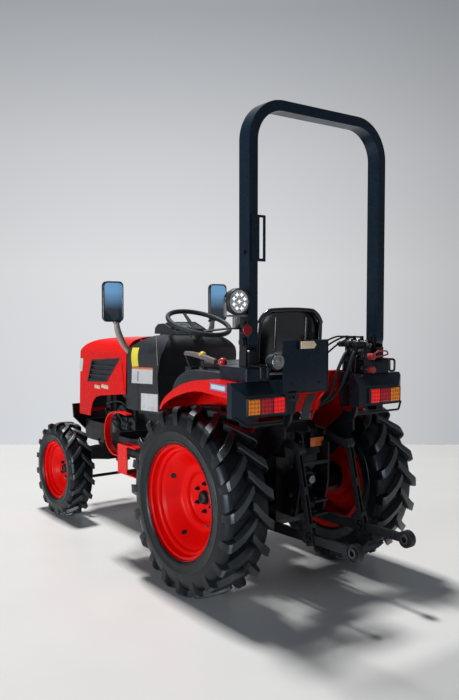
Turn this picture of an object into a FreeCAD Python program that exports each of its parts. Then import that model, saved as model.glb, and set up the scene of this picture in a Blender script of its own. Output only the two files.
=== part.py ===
"""Compact four-wheel-drive tractor with a folding roll-over hoop, rear lift linkage and lifting hood.

Millimetres.  +X points forward, +Y to the driver's left, +Z up.  Everything is drawn with the rear
axle at x = 0 and the ground at z = 0; save() then moves it so that the origin lies on the ground
under the middle of the overall length.
"""
import FreeCAD, Part
import math
import os
from functools import lru_cache

from FreeCAD import Vector

# ---------------------------------------------------------------- driving dimensions
wheelbase = 1551.0

rear_tyre_radius = 415.0
rear_tyre_width = 230.0
rear_wheel_y = 437.0
rear_flange_radius = 254.0
rear_rim_width = 206.0
rear_hub_face_y = 404.0

front_tyre_radius = 283.0
front_tyre_width = 146.0
front_wheel_y = 368.0
front_flange_radius = 174.0
front_rim_width = 124.0
front_hub_face_y = 352.0

rim_thickness = 5.0
carcass_thickness = 16.0
lug_height_rear = 30.0
lug_height_front = 20.0

kingpin_y = 275.0
steer_arm_length = 110.0
drive_tube_y = -104.0
running_fit = 0.08
face_gap = 0.3

housing_half_width = 125.0
axle_trumpet_radius = 56.0
shaft_radius = 28.0

frame_plate = 12.0
engine_half_width = 122.0
bell_front_x = 800.0
engine_front_x = 1225.0

hood_rear_x = 1062.0
hood_front_x = 1712.0
hood_half_width = 221.0
hood_top_z = 1096.0
hood_skin = 4.0
hood_tip_z = 600.0
hood_pivot_x = 1036.0

cowl_front_x = 972.0
cowl_rear_x = 610.0
cowl_half_width = 250.0
cowl_bottom_z = 700.0
cowl_skin = 4.0

platform_z = 580.0
platform_plate = 6.0
platform_half_width = 450.0

fender_inner_y = 300.0
fender_outer_y = 502.0
fender_top_z = 950.0
fender_sheet = 4.0
cap_rear_x = -368.0

hoop_rear_x = -320.0
hoop_depth = 68.0
hoop_tube = 44.0
hoop_half_width = 400.0
hoop_top_z = 2112.0
hoop_bend_radius = 180.0
hoop_wall = 4.0
hoop_pivot_z = 1115.0
hoop_rest_gap = 6.0

wheel_centre_x = 630.0
wheel_centre_z = 1180.0
wheel_tilt_deg = 21.4
steering_wheel_radius = 182.0

link_y = 153.0
link_pivot_x = -60.0
link_pivot_z = 285.0
link_ball_x = -681.0
link_ball_z = 294.0
link_thickness = 16.0
lift_pin_x = -430.0
rock_x = -70.0
rock_z = 668.0
arm_end_x = -345.0
arm_end_z = 648.0

bumper_front_x = 1790.0

# ---------------------------------------------------------------- derived places
rear_end_x = link_ball_x - 36.0
front_end_x = max(bumper_front_x, wheelbase + front_tyre_radius)
frame_shift = -(front_end_x + rear_end_x) / 2.0
rear_axle_z = rear_tyre_radius
front_axle_z = front_tyre_radius
hoop_mid_x = hoop_rear_x + hoop_depth / 2.0
hood_pivot_z = hood_top_z - 56.0


# ---------------------------------------------------------------- small helpers
def box(x0, x1, y0, y1, z0, z1):
    return Part.makeBox(x1 - x0, y1 - y0, z1 - z0, Vector(x0, y0, z0))


def both_sides(shape):
    """The shape and its mirror image across the centre plane."""
    return [shape, mirrored(shape)]


def mirrored(shape):
    return shape.mirror(Vector(0, 0, 0), Vector(0, 1, 0))


def fused(shapes):
    first, rest = shapes[0], shapes[1:]
    joined = first.multiFuse(rest) if rest else first
    return joined.removeSplitter()


def rod(start, end, radius):
    """A round bar from one point to another."""
    a, b = Vector(*start), Vector(*end)
    return Part.makeCylinder(radius, (b - a).Length, a, b - a)


def disc_y(radius, y0, y1, x, z):
    return Part.makeCylinder(radius, y1 - y0, Vector(x, y0, z), Vector(0, 1, 0))


def disc_x(radius, x0, x1, y, z):
    return Part.makeCylinder(radius, x1 - x0, Vector(x0, y, z), Vector(1, 0, 0))


def disc_z(radius, z0, z1, x, y):
    return Part.makeCylinder(radius, z1 - z0, Vector(x, y, z0), Vector(0, 0, 1))


def side_plate(points, y0, y1):
    """A straight-edged outline of (x, z) points, extruded across the machine."""
    wire = Part.makePolygon([Vector(x, y0, z) for x, z in points + points[:1]])
    return Part.Face(wire).extrude(Vector(0, y1 - y0, 0))


def front_plate(points, x0, x1):
    """A straight-edged outline of (y, z) points, extruded along the machine."""
    wire = Part.makePolygon([Vector(x0, y, z) for y, z in points + points[:1]])
    return Part.Face(wire).extrude(Vector(x1 - x0, 0, 0))


def plan_plate(points, z0, z1):
    """A straight-edged outline of (x, y) points, extruded upwards."""
    wire = Part.makePolygon([Vector(x, y, z0) for x, y in points + points[:1]])
    return Part.Face(wire).extrude(Vector(0, 0, z1 - z0))


def curve_xz(points, y):
    """A smooth edge through (x, z) points in the plane y."""
    spline = Part.BSplineCurve()
    spline.interpolate([Vector(x, y, z) for x, z in points])
    return spline.toShape()


def band_xz(upper, lower, y0, y1):
    """A strip between two smooth curves, both drawn front to back, extruded across."""
    top, bottom = curve_xz(upper, y0), curve_xz(lower, y0)
    ends = [
        Part.makeLine(Vector(upper[0][0], y0, upper[0][1]), Vector(lower[0][0], y0, lower[0][1])),
        Part.makeLine(Vector(upper[-1][0], y0, upper[-1][1]), Vector(lower[-1][0], y0, lower[-1][1])),
    ]
    wire = Part.Wire(Part.__sortEdges__([top, ends[1], bottom, ends[0]]))
    return Part.Face(wire).extrude(Vector(0, y1 - y0, 0))


def turned_y(profile, x, z):
    """A closed (radius, y) profile revolved about the axle through x, z."""
    pts = [Vector(x + r, y, z) for r, y in profile + profile[:1]]
    face = Part.Face(Part.makePolygon(pts))
    return face.revolve(Vector(x, 0, z), Vector(0, 1, 0), 360)


def bent_bar(points, radius, bend):
    """A round bar through the points, each corner turned at the same bend radius."""
    pieces = []
    for edge in rounded_path([Vector(*p) for p in points], bend).Edges:
        first, last = edge.FirstParameter, edge.LastParameter
        start, end = edge.valueAt(first), edge.valueAt(last)
        disc = Part.Face(Part.Wire(Part.makeCircle(radius, start, edge.tangentAt(first))))
        if isinstance(edge.Curve, Part.Circle):
            pieces.append(disc.revolve(edge.Curve.Center, edge.Curve.Axis, math.degrees(last - first)))
        else:
            pieces.append(disc.extrude(end - start))
    return fused(pieces)


def rounded_path(points, radius):
    """Straight runs joined by tangent arcs."""
    edges = []
    here = points[0]
    for before, corner, after in zip(points, points[1:], points[2:]):
        inward = (corner - before).normalize()
        outward = (after - corner).normalize()
        turn = inward.getAngle(outward)
        shorter = min((corner - before).Length, (after - corner).Length)
        cut = min(radius * math.tan(turn / 2), 0.45 * shorter)
        first, last = corner - inward * cut, corner + outward * cut
        bisector = (outward - inward).normalize()
        middle = corner + bisector * cut * math.tan(turn / 4)
        edges.append(Part.makeLine(here, first))
        edges.append(Part.Arc(first, middle, last).toShape())
        here = last
    edges.append(Part.makeLine(here, points[-1]))
    return Part.Wire(edges)


nodes = {}


def save(name, shape):
    """Keeps a node, moved into the part's own frame."""
    moved = shape.copy()
    moved.translate(Vector(frame_shift, 0, 0))
    nodes[name] = moved


# ---------------------------------------------------------------- wheels
def tyre(radius, width, flange_radius, rim_width, lug_height, lug_count, lug_top, x, y, z):
    """A hollow carcass with open beads on the rim and two staggered rows of tread bars."""
    half, seat = width / 2, flange_radius - 20.0 + face_gap
    bead = rim_width / 2 - rim_thickness - face_gap
    wall = carcass_thickness
    mid = (radius + flange_radius) / 2
    carcass_radius = radius - lug_height
    # flat panels dip below a true circle in their middles, so the beads stand off by that much
    dip = 1.0 / math.cos(math.pi / lug_count)
    outer = [
        (seat * dip, -bead + 8),
        (mid, -half),
        (carcass_radius - 4, -half + 10),
        (carcass_radius - 4, half - 10),
        (mid, half),
        (seat * dip, bead - 8),
    ]
    inner = [
        (seat * dip, bead - wall),
        (carcass_radius - 2 * wall, 0),
        (seat * dip, -bead + wall),
    ]
    carcass = faceted_ring([(r, y + w) for r, w in outer + inner], lug_count, x, z)
    pitch = 2 * math.pi / lug_count
    # one bar's top corner stands straight below the axle, so the tyre meets the ground there
    first = math.pi - lug_top / radius
    bars = []
    for k in range(lug_count):
        for side, offset in ((1, 0.0), (-1, 0.5)):
            angle = first + (k + offset) * pitch
            bars.append(lug(radius, half, lug_height, lug_top, lug_top * 1.35, 0.22, angle, side, x, y, z))
    return carcass.multiFuse(bars).removeSplitter()


def rim(flange_radius, rim_width, dish, holes, x, y, z):
    """Flanges, seats and well in one rolled sheet, with a dished disc pressed out of one plate.

    The dish is the disc's outboard face as (radius, y) from the well in to the pilot hole, and each
    hole is (radius of the circle it lies on, its own radius, how many, first angle)."""
    half, t = rim_width / 2, rim_thickness
    seat, well = flange_radius - 20.0, flange_radius - 42.0
    outer = [
        (flange_radius - 3, half + 3),
        (flange_radius, half),
        (flange_radius, half - t),
        (seat, half - t),
        (seat, half - 34),
        (well, half - 46),
        (well, -half + 46),
        (seat, -half + 34),
        (seat, -half + t),
        (flange_radius, -half + t),
        (flange_radius, -half),
        (flange_radius - 3, -half - 3),
    ]
    inner = [
        (seat - t, -half),
        (seat - t, -half + 34 - t / 2),
        (well - t, -half + 46 - t / 2),
        (well - t, half - 46 + t / 2),
        (seat - t, half - 34 + t / 2),
        (seat - t, half),
    ]
    ring = turned_y([(r, y + w) for r, w in outer + inner], x, z)
    plate = [(well - t / 2, dish[0][1])] + dish
    back = [(r, w - t) for r, w in reversed(plate)]
    disc = turned_y(plate + back, x, z)
    for circle, own, count, start in holes:
        for k in range(count):
            angle = math.radians(start) + 2 * math.pi * k / count
            px, pz = x + circle * math.cos(angle), z + circle * math.sin(angle)
            disc = disc.cut(disc_y(own, 0, y + rim_width, px, pz))
    return ring, disc


def make_wheels():
    face, t = rear_hub_face_y, rim_thickness
    rear_tyre = tyre(rear_tyre_radius, rear_tyre_width, rear_flange_radius, rear_rim_width,
                     lug_height_rear, 20, 16.0, 0, rear_wheel_y, rear_axle_z)
    rear_dish = [(200, face + 77), (190, face + 74), (154, face + 33), (144, face + 26), (124, face + 26),
                 (114, face + t), (20, face + t)]
    ring, disc = rim(rear_flange_radius, rear_rim_width, rear_dish, [(172, 11, 4, 155)],
                     0, rear_wheel_y, rear_axle_z)
    for k in range(4):
        disc = disc.cut(hand_hole(84, 108, 15, 110 + 90 * k, 0, rear_axle_z))
    hub = disc_y(80, face - 14, face, 0, rear_axle_z)
    boss = turned_y([(0, face), (36, face), (36, face + 18), (30, face + 24), (0, face + 24)], 0, rear_axle_z)
    shaft = disc_y(shaft_radius, face - 80, face, 0, rear_axle_z)
    nuts = ring_of_nuts(58, 11, 6, face + t - 1, face + t + 14, 0, rear_axle_z)
    rear_rim = fused([ring, disc, hub, boss, shaft] + nuts)

    face = front_hub_face_y
    front_tyre = tyre(front_tyre_radius, front_tyre_width, front_flange_radius, front_rim_width,
                      lug_height_front, 17, 12.0, wheelbase, front_wheel_y, front_axle_z)
    front_dish = [(126, face + 27), (116, face + 26), (98, face + 9), (88, face + t), (16, face + t)]
    ring, disc = rim(front_flange_radius, front_rim_width, front_dish, [(104, 7, 4, 45)],
                     wheelbase, front_wheel_y, front_axle_z)
    hub = disc_y(40, face - 10, face, wheelbase, front_axle_z)
    cap = turned_y([(0, face), (30, face), (30, face + 16), (22, face + 26), (0, face + 26)],
                   wheelbase, front_axle_z)
    nuts = ring_of_nuts(50, 9, 5, face + t - 1, face + t + 11, wheelbase, front_axle_z)
    front_rim = fused([ring, disc, hub, cap] + nuts)
    for name, shape in (("tyre_rear", rear_tyre), ("rim_rear", rear_rim),
                        ("tyre_front", front_tyre), ("rim_front", front_rim)):
        save(name + "_left", shape)
        save(name + "_right", mirrored(shape))


# ---------------------------------------------------------------- driveline
def make_transmission():
    w = housing_half_width
    rear = side_plate([(-165, 300), (-130, 268), (120, 268), (172, 300), (172, 590), (-165, 590)], -w, w)
    cover = side_plate([(-205, 590), (-190, 700), (-150, 735), (60, 735), (150, 640), (170, 590)], -105, 105)
    gearbox = side_plate([(172, 290), (bell_front_x - 180, 300), (bell_front_x - 180, 556),
                          (172, 570)], -112, 112)
    bell = front_plate([(-110, 300), (110, 300), (150, 350), (150, 560), (110, 622),
                        (-110, 622), (-150, 560), (-150, 350)], bell_front_x - 180, bell_front_x)
    transfer = box(540, bell_front_x, -45, 45, 255, 305)
    bosses = [cover, gearbox, bell, transfer, disc_x(48, -190, -160, 0, 490),
              side_plate([(-240, 640), (-200, 615), (-190, 700), (-232, 690)], -34, 34)]
    for side in (1, -1):
        drum = disc_y(98, w, w + 52, 0, rear_axle_z)
        tube = disc_y(axle_trumpet_radius, w, rear_hub_face_y - 17, 0, rear_axle_z)
        flange = disc_y(72, rear_hub_face_y - 34, rear_hub_face_y - 17, 0, rear_axle_z)
        bore = disc_y(shaft_radius + running_fit, rear_hub_face_y - 84, rear_hub_face_y, 0, rear_axle_z)
        trumpet = fused([drum, tube, flange]).cut(bore)
        pin = disc_y(11, w - 5, link_y + link_thickness / 2 + 6, link_pivot_x, link_pivot_z)
        for piece in (trumpet, pin):
            bosses.append(piece if side == 1 else mirrored(piece))
    slot = side_plate([(-246, 610), (-204, 610), (-204, 705), (-246, 705)], -22.5, 22.5)
    rock_bore = disc_y(22 + running_fit, -140, 140, rock_x, rock_z)
    body = fused([rear] + bosses).cut(slot)
    top_hole = disc_y(9.7, -40, 40, -226, 655)
    save("transmission", body.cut(rock_bore).cut(top_hole))


def make_engine():
    w = engine_half_width
    x0, x1 = bell_front_x, engine_front_x
    block = box(x0, x1, -w, w, 395, 790)
    sump = side_plate([(x0 + 10, 395), (x0 + 60, 332), (x1 - 60, 332), (x1 - 10, 395)], -78, 78)
    head = box(x0 + 20, x1 - 25, -92, 92, 790, 866)
    rocker = box(x0 + 50, x1 - 60, -62, 62, 866, 912)
    pulley = disc_x(70, x1, x1 + 28, 0, 470)
    fan_boss = disc_x(34, x1, x1 + 40, 0, 700)
    intake = disc_x(30, x0 + 60, x1 - 60, w + 22, 760)
    intake_foot = box(x0 + 90, x1 - 90, 85, w + 24, 738, 782)
    filter_can = rod((x0 + 235, w - 6, 620), (x0 + 235, w + 62, 600), 38)
    save("engine", fused([block, sump, head, rocker, pulley, fan_boss, intake, intake_foot, filter_can]))


def make_radiator():
    core = box(1330, 1378, -165, 165, 560, 960)
    header = box(1322, 1386, -165, 165, 960, 1000)
    shroud = box(1290, 1330, -150, 150, 575, 945).cut(disc_x(138, 1285, 1331, 0, 740))
    base = box(1322, 1386, -134, 134, 545, 560)
    save("radiator", fused([core, header, shroud, base]))


def make_front_frame():
    w = engine_half_width
    rails = both_sides(box(860, bumper_front_x - 60, w, w + frame_plate, 425, 545))
    end = box(bumper_front_x - 60, bumper_front_x - 48, -w - frame_plate, w + frame_plate, 425, 545)
    saddle = box(wheelbase - 76, wheelbase + 76, -w, w, 425, 450)
    hangers = [box(wheelbase - 76, wheelbase - 52, -44, 44, 300, 425),
               box(wheelbase + 52, wheelbase + 76, -44, 44, 300, 425)]
    pivot = disc_x(20, wheelbase - 84, wheelbase + 84, 0, 360)
    arms = both_sides(box(bumper_front_x - 52, bumper_front_x - 22, 84, 104, 450, 530))
    guard = side_plate([(bumper_front_x - 44, 462), (bumper_front_x - 30, 462),
                        (bumper_front_x, 646), (bumper_front_x - 14, 646)], -205, 205)
    guard = guard.common(front_plate([(-112, 460), (112, 460), (205, 560), (205, 650), (-205, 650), (-205, 560)],
                                     bumper_front_x - 60, bumper_front_x + 10))
    rest = box(1322, 1386, -w, w, 520, 545)
    save("front_frame", fused(rails + [end, saddle, rest] + hangers + [pivot] + arms + [guard]))


def make_front_axle():
    beam = front_plate([(-235, 330), (-150, 320), (-90, 312), (90, 312), (150, 320), (235, 330),
                        (235, 388), (150, 398), (-150, 398), (-235, 388)], wheelbase - 40, wheelbase + 40)
    pot = disc_x(60, wheelbase - 50, wheelbase + 50, drive_tube_y, 356)
    bore = disc_x(20 + running_fit, wheelbase - 60, wheelbase + 60, 0, 360)
    ends = []
    for side in (1, -1):
        ends.append(disc_z(34, 330, 386, wheelbase, side * kingpin_y))
        neck = box(wheelbase - 30, wheelbase + 30, 225, 262, 332, 384)
        ends.append(neck if side == 1 else mirrored(neck))
    tube = disc_x(18, bell_front_x + face_gap, wheelbase - 50, drive_tube_y, 340)
    axle = fused([beam, pot, tube] + ends).cut(bore)
    save("front_axle", axle)


def make_knuckles():
    """The cases that carry the front wheels and turn about the kingpins, with their steering arms."""
    case = disc_z(40, 205, 330 - face_gap, wheelbase, kingpin_y)
    hub = disc_y(46, kingpin_y, front_hub_face_y - 10 - face_gap, wheelbase, front_axle_z)
    arm = box(wheelbase - steer_arm_length - 14, wheelbase - 20, kingpin_y - 24, kingpin_y + 4, 206, 220)
    eye = disc_z(14, 206, 220, wheelbase - steer_arm_length, kingpin_y - 10)
    knuckle = fused([case, hub, arm, eye])
    save("knuckle_left", knuckle)
    save("knuckle_right", mirrored(knuckle))
    y = kingpin_y - 10
    x = wheelbase - steer_arm_length
    bar = disc_y(9, -y, y, x, 236)
    ends = both_sides(disc_z(15, 220 + face_gap, 250, x, y))
    save("tie_rod", fused([bar] + ends))


# ---------------------------------------------------------------- operator's place
def make_platform():
    x0, x1, z = 250, 700, platform_z
    w = platform_half_width
    wheel_x, inboard = 446, fender_inner_y - 2
    plan = [(x0, -inboard), (wheel_x, -inboard), (wheel_x, -w), (x1, -w), (x1, w), (wheel_x, w),
            (wheel_x, inboard), (x0, inboard)]
    plate = plan_plate(plan, z - platform_plate, z)
    tunnel = box(x0 - 40, 616, -118, 118, z, 660).cut(box(x0 - 41, 612, -114, 114, z - 10, 656))
    opening = box(x0 - 1, 614, -114, 114, z - 20, z + 2)
    bell_gap = box(612, x1 + 1, -154, 154, z - 20, z + 60)
    lips = both_sides(box(wheel_x, x1, w - 4, w, z, z + 22))
    front = box(x1 - 4, x1, -w, w, z, z + 40)
    feet = both_sides(box(300, 360, 112 + face_gap, 150, 530, z - platform_plate))
    floor = fused([plate.cut(opening), front] + lips + feet).cut(bell_gap)
    save("platform", fused([floor, tunnel]))


def make_steps():
    y = platform_half_width
    outer = [(560, 731), (702, 731), (752, 712), (786, 672), (796, 622), (782, 560), (750, 528), (690, 508)]
    inner = [(560, 725), (700, 725), (748, 706), (780, 668), (790, 622), (777, 563), (746, 534), (690, 514)]
    guard = band_xz(outer, inner, y, y + 34)
    foot = box(612, 696, y, y + 34, 508, 514)
    hanger = box(606, 612, y, y + 34, 508, platform_z)
    strap = box(528, 622, y + 44, y + 50, 440, platform_z)
    rail = box(440, 622, y, y + 50, platform_z - 6, platform_z)
    tread = box(432, 622, y - 28, y + 50, 434, 440)
    step = fused([guard, foot, hanger, strap, rail, tread])
    save("steps", Part.makeCompound(both_sides(step)))


def column_hole(gap):
    """The steering column's own tapered boot, drawn larger by a gap."""
    axis = wheel_frame()
    start = Vector(wheel_centre_x, 0, wheel_centre_z) + axis * (66 + face_gap - gap)
    return Part.makeCone(34 + gap, 74 + gap, 150 + 2 * gap, start, axis)


def make_dash():
    w, t = cowl_half_width, cowl_skin
    x0, x1, z0 = cowl_rear_x, cowl_front_x, cowl_bottom_z

    def block(grow, foot, rear, front):
        top = curve_xz([(front, 1034 - grow), (x1 - 70, 1078 - grow), (x1 - 160, 1112 - grow),
                        (x1 - 270, 1118 - grow), (x0 + 24, 1088 - grow), (rear, 1044 - grow)], -w - 1)
        sides = Part.makePolygon([Vector(rear, -w - 1, 1044 - grow), Vector(rear + 38, -w - 1, 900),
                                  Vector(rear + 18, -w - 1, foot), Vector(front, -w - 1, foot),
                                  Vector(front, -w - 1, 1034 - grow)]).Edges
        long = Part.Face(Part.Wire(Part.__sortEdges__([top] + sides))).extrude(Vector(0, 2 * w + 2, 0))
        h = w - grow
        crown = 1122 - grow
        arcs = [Part.Arc(Vector(rear - 1, s * h, 966), Vector(rear - 1, s * (h - 26), 1056),
                         Vector(rear - 1, s * (h - 92), crown - 12)).toShape() for s in (1, -1)]
        roof = Part.Arc(Vector(rear - 1, h - 92, crown - 12), Vector(rear - 1, 0, crown),
                        Vector(rear - 1, -h + 92, crown - 12)).toShape()
        walls = Part.makePolygon([Vector(rear - 1, h, 966), Vector(rear - 1, h, foot - 1),
                                  Vector(rear - 1, -h, foot - 1), Vector(rear - 1, -h, 966)]).Edges
        across = Part.Face(Part.Wire(Part.__sortEdges__(arcs + [roof] + walls)))
        return long.common(across.extrude(Vector(front - rear + 2, 0, 0)))

    shell = block(0, z0, x0, x1).cut(block(t, z0 - 5, x0 + t, x1 + 5))
    shell = shell.cut(column_hole(face_gap))
    seam = box(x1 - 122, x1 - 119, -w - 1, w + 1, z0 - 1, 1000).cut(box(x1 - 130, x1 - 110, -w + 1.2, w - 1.2, 0, 1100))
    filler = disc_z(30, 1085, 1126, x1 - 60, 30).fuse(disc_z(36, 1108, 1124, x1 - 60, 30))
    save("dash_cowl", fused([shell.cut(seam), filler]))


def make_firewall():
    """Bulkhead between the dash and the hood, with the hood's hinge pins and the mirrors' feet."""
    x0, x1 = cowl_front_x + face_gap, hood_rear_x - 4
    solid = hood_block(16, hood_top_z, hood_front_x, 900).common(box(x0, x1, -300, 300, cowl_bottom_z, 1400))
    hollow = hood_block(20, hood_top_z, hood_front_x, 900).common(box(x0 + 4, x1 + 1, -300, 300, 600, 1400))
    cut_out = box(x0 - 1, x0 + 5, -178, 178, cowl_bottom_z - 10, 925)
    shell = solid.cut(hollow).cut(cut_out)
    for slot in both_sides(box(hood_pivot_x - 20, x1 + 1, 103, 115, hood_pivot_z - 40, hood_pivot_z + 80)):
        shell = shell.cut(slot)
    leg = front_plate([(178, cowl_bottom_z + 4), (200, cowl_bottom_z + 4), (200, 560),
                       (engine_half_width + face_gap, 560), (engine_half_width + face_gap, 605), (178, 650)],
                      x0, x0 + 4)
    bracket = side_plate([(x0 + 2, hood_pivot_z - 30), (hood_pivot_x + 12, hood_pivot_z - 12),
                          (hood_pivot_x + 12, hood_pivot_z + 12), (x0 + 2, hood_pivot_z + 24)], 95, 105)
    pin = disc_y(6, 100, 117, hood_pivot_x, hood_pivot_z)
    save("firewall", fused([shell] + both_sides(leg) + both_sides(bracket.fuse(pin))))


def make_instruments():
    """Hooded instrument pod on top of the cowl, its dial plate leaning back at the driver."""
    foot = 1123 + face_gap
    pod = side_plate([(676, 1112), (905, 1112), (900, 1150), (868, 1172), (812, 1176), (700, 1136)], -112, 112)
    pod = pod.makeFillet(16, [e for e in pod.Edges if abs(e.Length - 224) < 1 and e.CenterOfMass.z > 1130])
    dial = side_plate([(704, 1146), (806, 1182), (812, 1176), (710, 1130)], -96, 96)
    dial = dial.makeFillet(3, [e for e in dial.Edges if abs(e.Length - 192) < 1])
    cowl = nodes["dash_cowl"].copy()
    cowl.translate(Vector(-frame_shift, 0, 0))
    filled = box(cowl_rear_x - 1, cowl_front_x + 1, -cowl_half_width, cowl_half_width, 900, foot - 6)
    save("instrument_pod", fused([pod, dial]).cut(filled).cut(column_hole(face_gap)).cut(cowl))


def wheel_frame():
    """Direction of the steering shaft, from the wheel down to the dash."""
    tilt = math.radians(wheel_tilt_deg)
    return Vector(math.sin(tilt), 0, -math.cos(tilt))


def make_steering():
    axis = wheel_frame()
    centre = Vector(wheel_centre_x, 0, wheel_centre_z)
    grip = 13.0
    ring = Part.makeTorus(steering_wheel_radius - grip, grip, centre, axis)
    hub = Part.makeCylinder(34, 34, centre + axis * 32, axis)
    cap = Part.makeCone(26, 32, 8, centre + axis * 24, axis)
    spokes = []
    for k in range(3):
        angle = 2 * math.pi * k / 3 + math.pi / 2
        across = Vector(0, 1, 0)
        out = across * math.cos(angle) + axis.cross(across) * math.sin(angle)
        flat = axis.cross(out)
        a, b = centre + axis * 46 + out * 22, centre + out * (steering_wheel_radius - grip)
        run = b - a
        blade = Part.makePolygon([a + flat * 13, a - flat * 13, b - flat * 8, b + flat * 8, a + flat * 13])
        thick = run.cross(flat).normalize() * 6
        spoke = Part.Face(blade).extrude(thick)
        spoke.translate(thick * -0.5)
        spokes.append(spoke)
    save("steering_wheel", fused([ring, hub, cap] + spokes))
    save("steering_column", column_hole(0))


def make_seat():
    """A dished cushion and a shell back with a rolled rim tube, on one sprung frame."""
    top = [(-40, 1004), (40, 990), (180, 984), (310, 1004), (372, 1010), (404, 990)]
    foot = [(-40, 945), (60, 934), (180, 930), (300, 934), (380, 948), (404, 990)]
    pan = band_xz_closed(top, foot, -215, 215)
    plan = rounded_plan(-42, 406, 215, 70, 900, 1040)
    pan = pan.common(plan)
    back_front = [(-30, 960), (-42, 1080), (-66, 1180), (-96, 1256)]
    back_rear = [(-92, 960), (-98, 1080), (-116, 1180), (-128, 1250)]
    back = band_xz(back_rear, back_front, -190, 190)
    back = back.common(rounded_front(190, 940, 1256, 90, -150, 0))
    half = 186
    rim = bent_bar([(-104, half, 985), (-112, half, 1120), (-130, half, 1246), (-130, -half, 1246),
                    (-112, -half, 1120), (-104, -half, 985)], 11, 84)
    legs = box(-104, -34, -150, 150, 944, 972)
    save("seat", fused([pan, back, rim, legs]))
    stand = side_plate([(0, 735), (260, 660 + face_gap), (330, 660 + face_gap), (330, 929), (-20, 944), (-20, 735)],
                       -110, 110)
    stand = stand.cut(box(-60, 120, -111, 111, 600, 735 + face_gap))
    seat = nodes["seat"].copy()
    seat.translate(Vector(-frame_shift, 0, 0))
    save("seat_base", stand.cut(seat))


def post_space(gap):
    """Room for a hoop post and its shelf on the left side."""
    x0, x1 = hoop_rear_x - gap, hoop_rear_x + hoop_depth + gap
    post = box(x0, x1, hoop_half_width - hoop_tube - gap, hoop_half_width + gap, 700, 1200)
    return post.fuse(box(x0, x1, 200 - gap, hoop_half_width + gap, 700, 784 + gap))


def make_fenders():
    """Sheet-metal arch, its rolled outer lip and the inner wall beside the seat."""
    t = fender_top_z
    crown = [(212, 800), (186, 838), (142, 870), (64, 909), (-24, 937), (-100, 950), (-180, t + 4), (-306, t)]
    under = [(206, 797), (182, 834), (139, 866), (63, 905), (-24, 933), (-100, 946), (-180, t), (-306, t - 4)]
    band = band_xz(crown, under, fender_inner_y, fender_outer_y)
    edge = [(204, 794), (174, 822), (128, 846), (58, 872), (-24, 893), (-100, 903), (-180, t - 50), (-306, t - 58)]
    lip = band_xz(crown, edge, fender_outer_y - fender_sheet, fender_outer_y)
    hem = [(209, 798), (190, 620), (150, 592), (60, 584), (0, 583), (-60, 600), (-140, 650), (-220, 730),
           (-306, 800)]
    wall = band_xz(crown, hem, fender_inner_y, fender_inner_y + fender_sheet)
    fender = fused([band, lip, wall]).cut(post_space(face_gap))
    save("fenders", Part.makeCompound(both_sides(fender) + [seat_deck()]))


def make_consoles():
    """Black side consoles between the seat and each fender, where the levers come up."""
    y0, y1 = 236, fender_inner_y - face_gap
    outline = [(430, 868), (353, 925), (306, 954), (203, 970), (-20, 966), (-120, 940), (-120, 800), (300, 760),
               (430, 800)]
    console = side_plate(outline, y0, y1)
    save("consoles", Part.makeCompound(both_sides(console)))


def make_caps():
    """Black moulded rear corners that carry the tail lamps and close round the hoop posts."""
    x0, x1 = cap_rear_x, -306
    t = fender_top_z
    out = fender_outer_y
    low = t - 138
    plan = [(x1, 190), (x0, 190), (x0, out - 47), (x0 + 30, out), (x1, out)]
    body = plan_plate(plan, low, t + 10)
    slope = side_plate([(x0 - 10, t - 48), (x0, t - 48), (x0 + 40, t + 4), (x1 + 10, t + 4),
                        (x1 + 10, t + 60), (x0 - 10, t + 60)], 100, out + 100)
    body = body.cut(slope)
    inner = [(x1 + 1, 194), (x0 + 4, 194), (x0 + 4, out - 49), (x0 + 32, out - 4), (x1 + 1, out - 4)]
    body = body.cut(plan_plate(inner, low - 12, t - 54))
    y0, y1 = fender_inner_y + 2, hoop_half_width + 25
    box_top = box(-335, -145, y0, y1, t + 5, t + 62)
    box_top = box_top.makeFillet(7, [e for e in box_top.Edges if abs(e.Vertexes[0].Z - e.Vertexes[1].Z) > 50
                                     or min(v.Z for v in e.Vertexes) > t + 61])
    box_top = box_top.cut(box(-331, -149, y0 + 4, y1 - 4, t, t + 58))
    lip = bent_bar([(x0 + 20, out - 10, low + 3), (x0 - 2, out - 50, low - 30), (x0 - 2, 262, low - 30),
                    (x0 + 14, 236, low + 3)], 5, 22)
    cap = fused([body, box_top, lip]).cut(post_space(face_gap))
    save("fender_caps", Part.makeCompound(both_sides(cap)))
    back = box(x0 - 6, x0 - face_gap, 252, 454, t - 128, t - 59)
    lenses = []
    for y0, y1 in ((256, 318), (321, 384), (387, 450)):
        lens = box(x0 - 15, x0 - 5, y0, y1, t - 125, t - 62)
        lenses.append(lens.makeFillet(4, [e for e in lens.Edges if max(v.X for v in e.Vertexes) < x0 - 14]))
    lamp = fused([back] + lenses)
    save("tail_lamps", Part.makeCompound(both_sides(lamp)))


# ---------------------------------------------------------------- roll-over hoop
def hoop_band(half, top, radius, band, low, x0, x1):
    """An upright arch: two legs and a top bar with round corners."""
    def outline(h, z, r):
        pts = [Vector(x0, -h, low), Vector(x0, -h, z - r), Vector(x0, -h + r, z),
               Vector(x0, h - r, z), Vector(x0, h, z - r), Vector(x0, h, low)]
        k = r * (1 - math.sqrt(0.5))
        return [
            Part.makeLine(pts[0], pts[1]),
            Part.Arc(pts[1], Vector(x0, -h + k, z - k), pts[2]).toShape(),
            Part.makeLine(pts[2], pts[3]),
            Part.Arc(pts[3], Vector(x0, h - k, z - k), pts[4]).toShape(),
            Part.makeLine(pts[4], pts[5]),
        ]
    outer = outline(half, top, radius)
    inner = outline(half - band, top - band, radius - band)
    feet = [Part.makeLine(Vector(x0, s * half, low), Vector(x0, s * (half - band), low)) for s in (1, -1)]
    wire = Part.Wire(Part.__sortEdges__(outer + inner + feet))
    return Part.Face(wire).extrude(Vector(x1 - x0, 0, 0))


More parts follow.
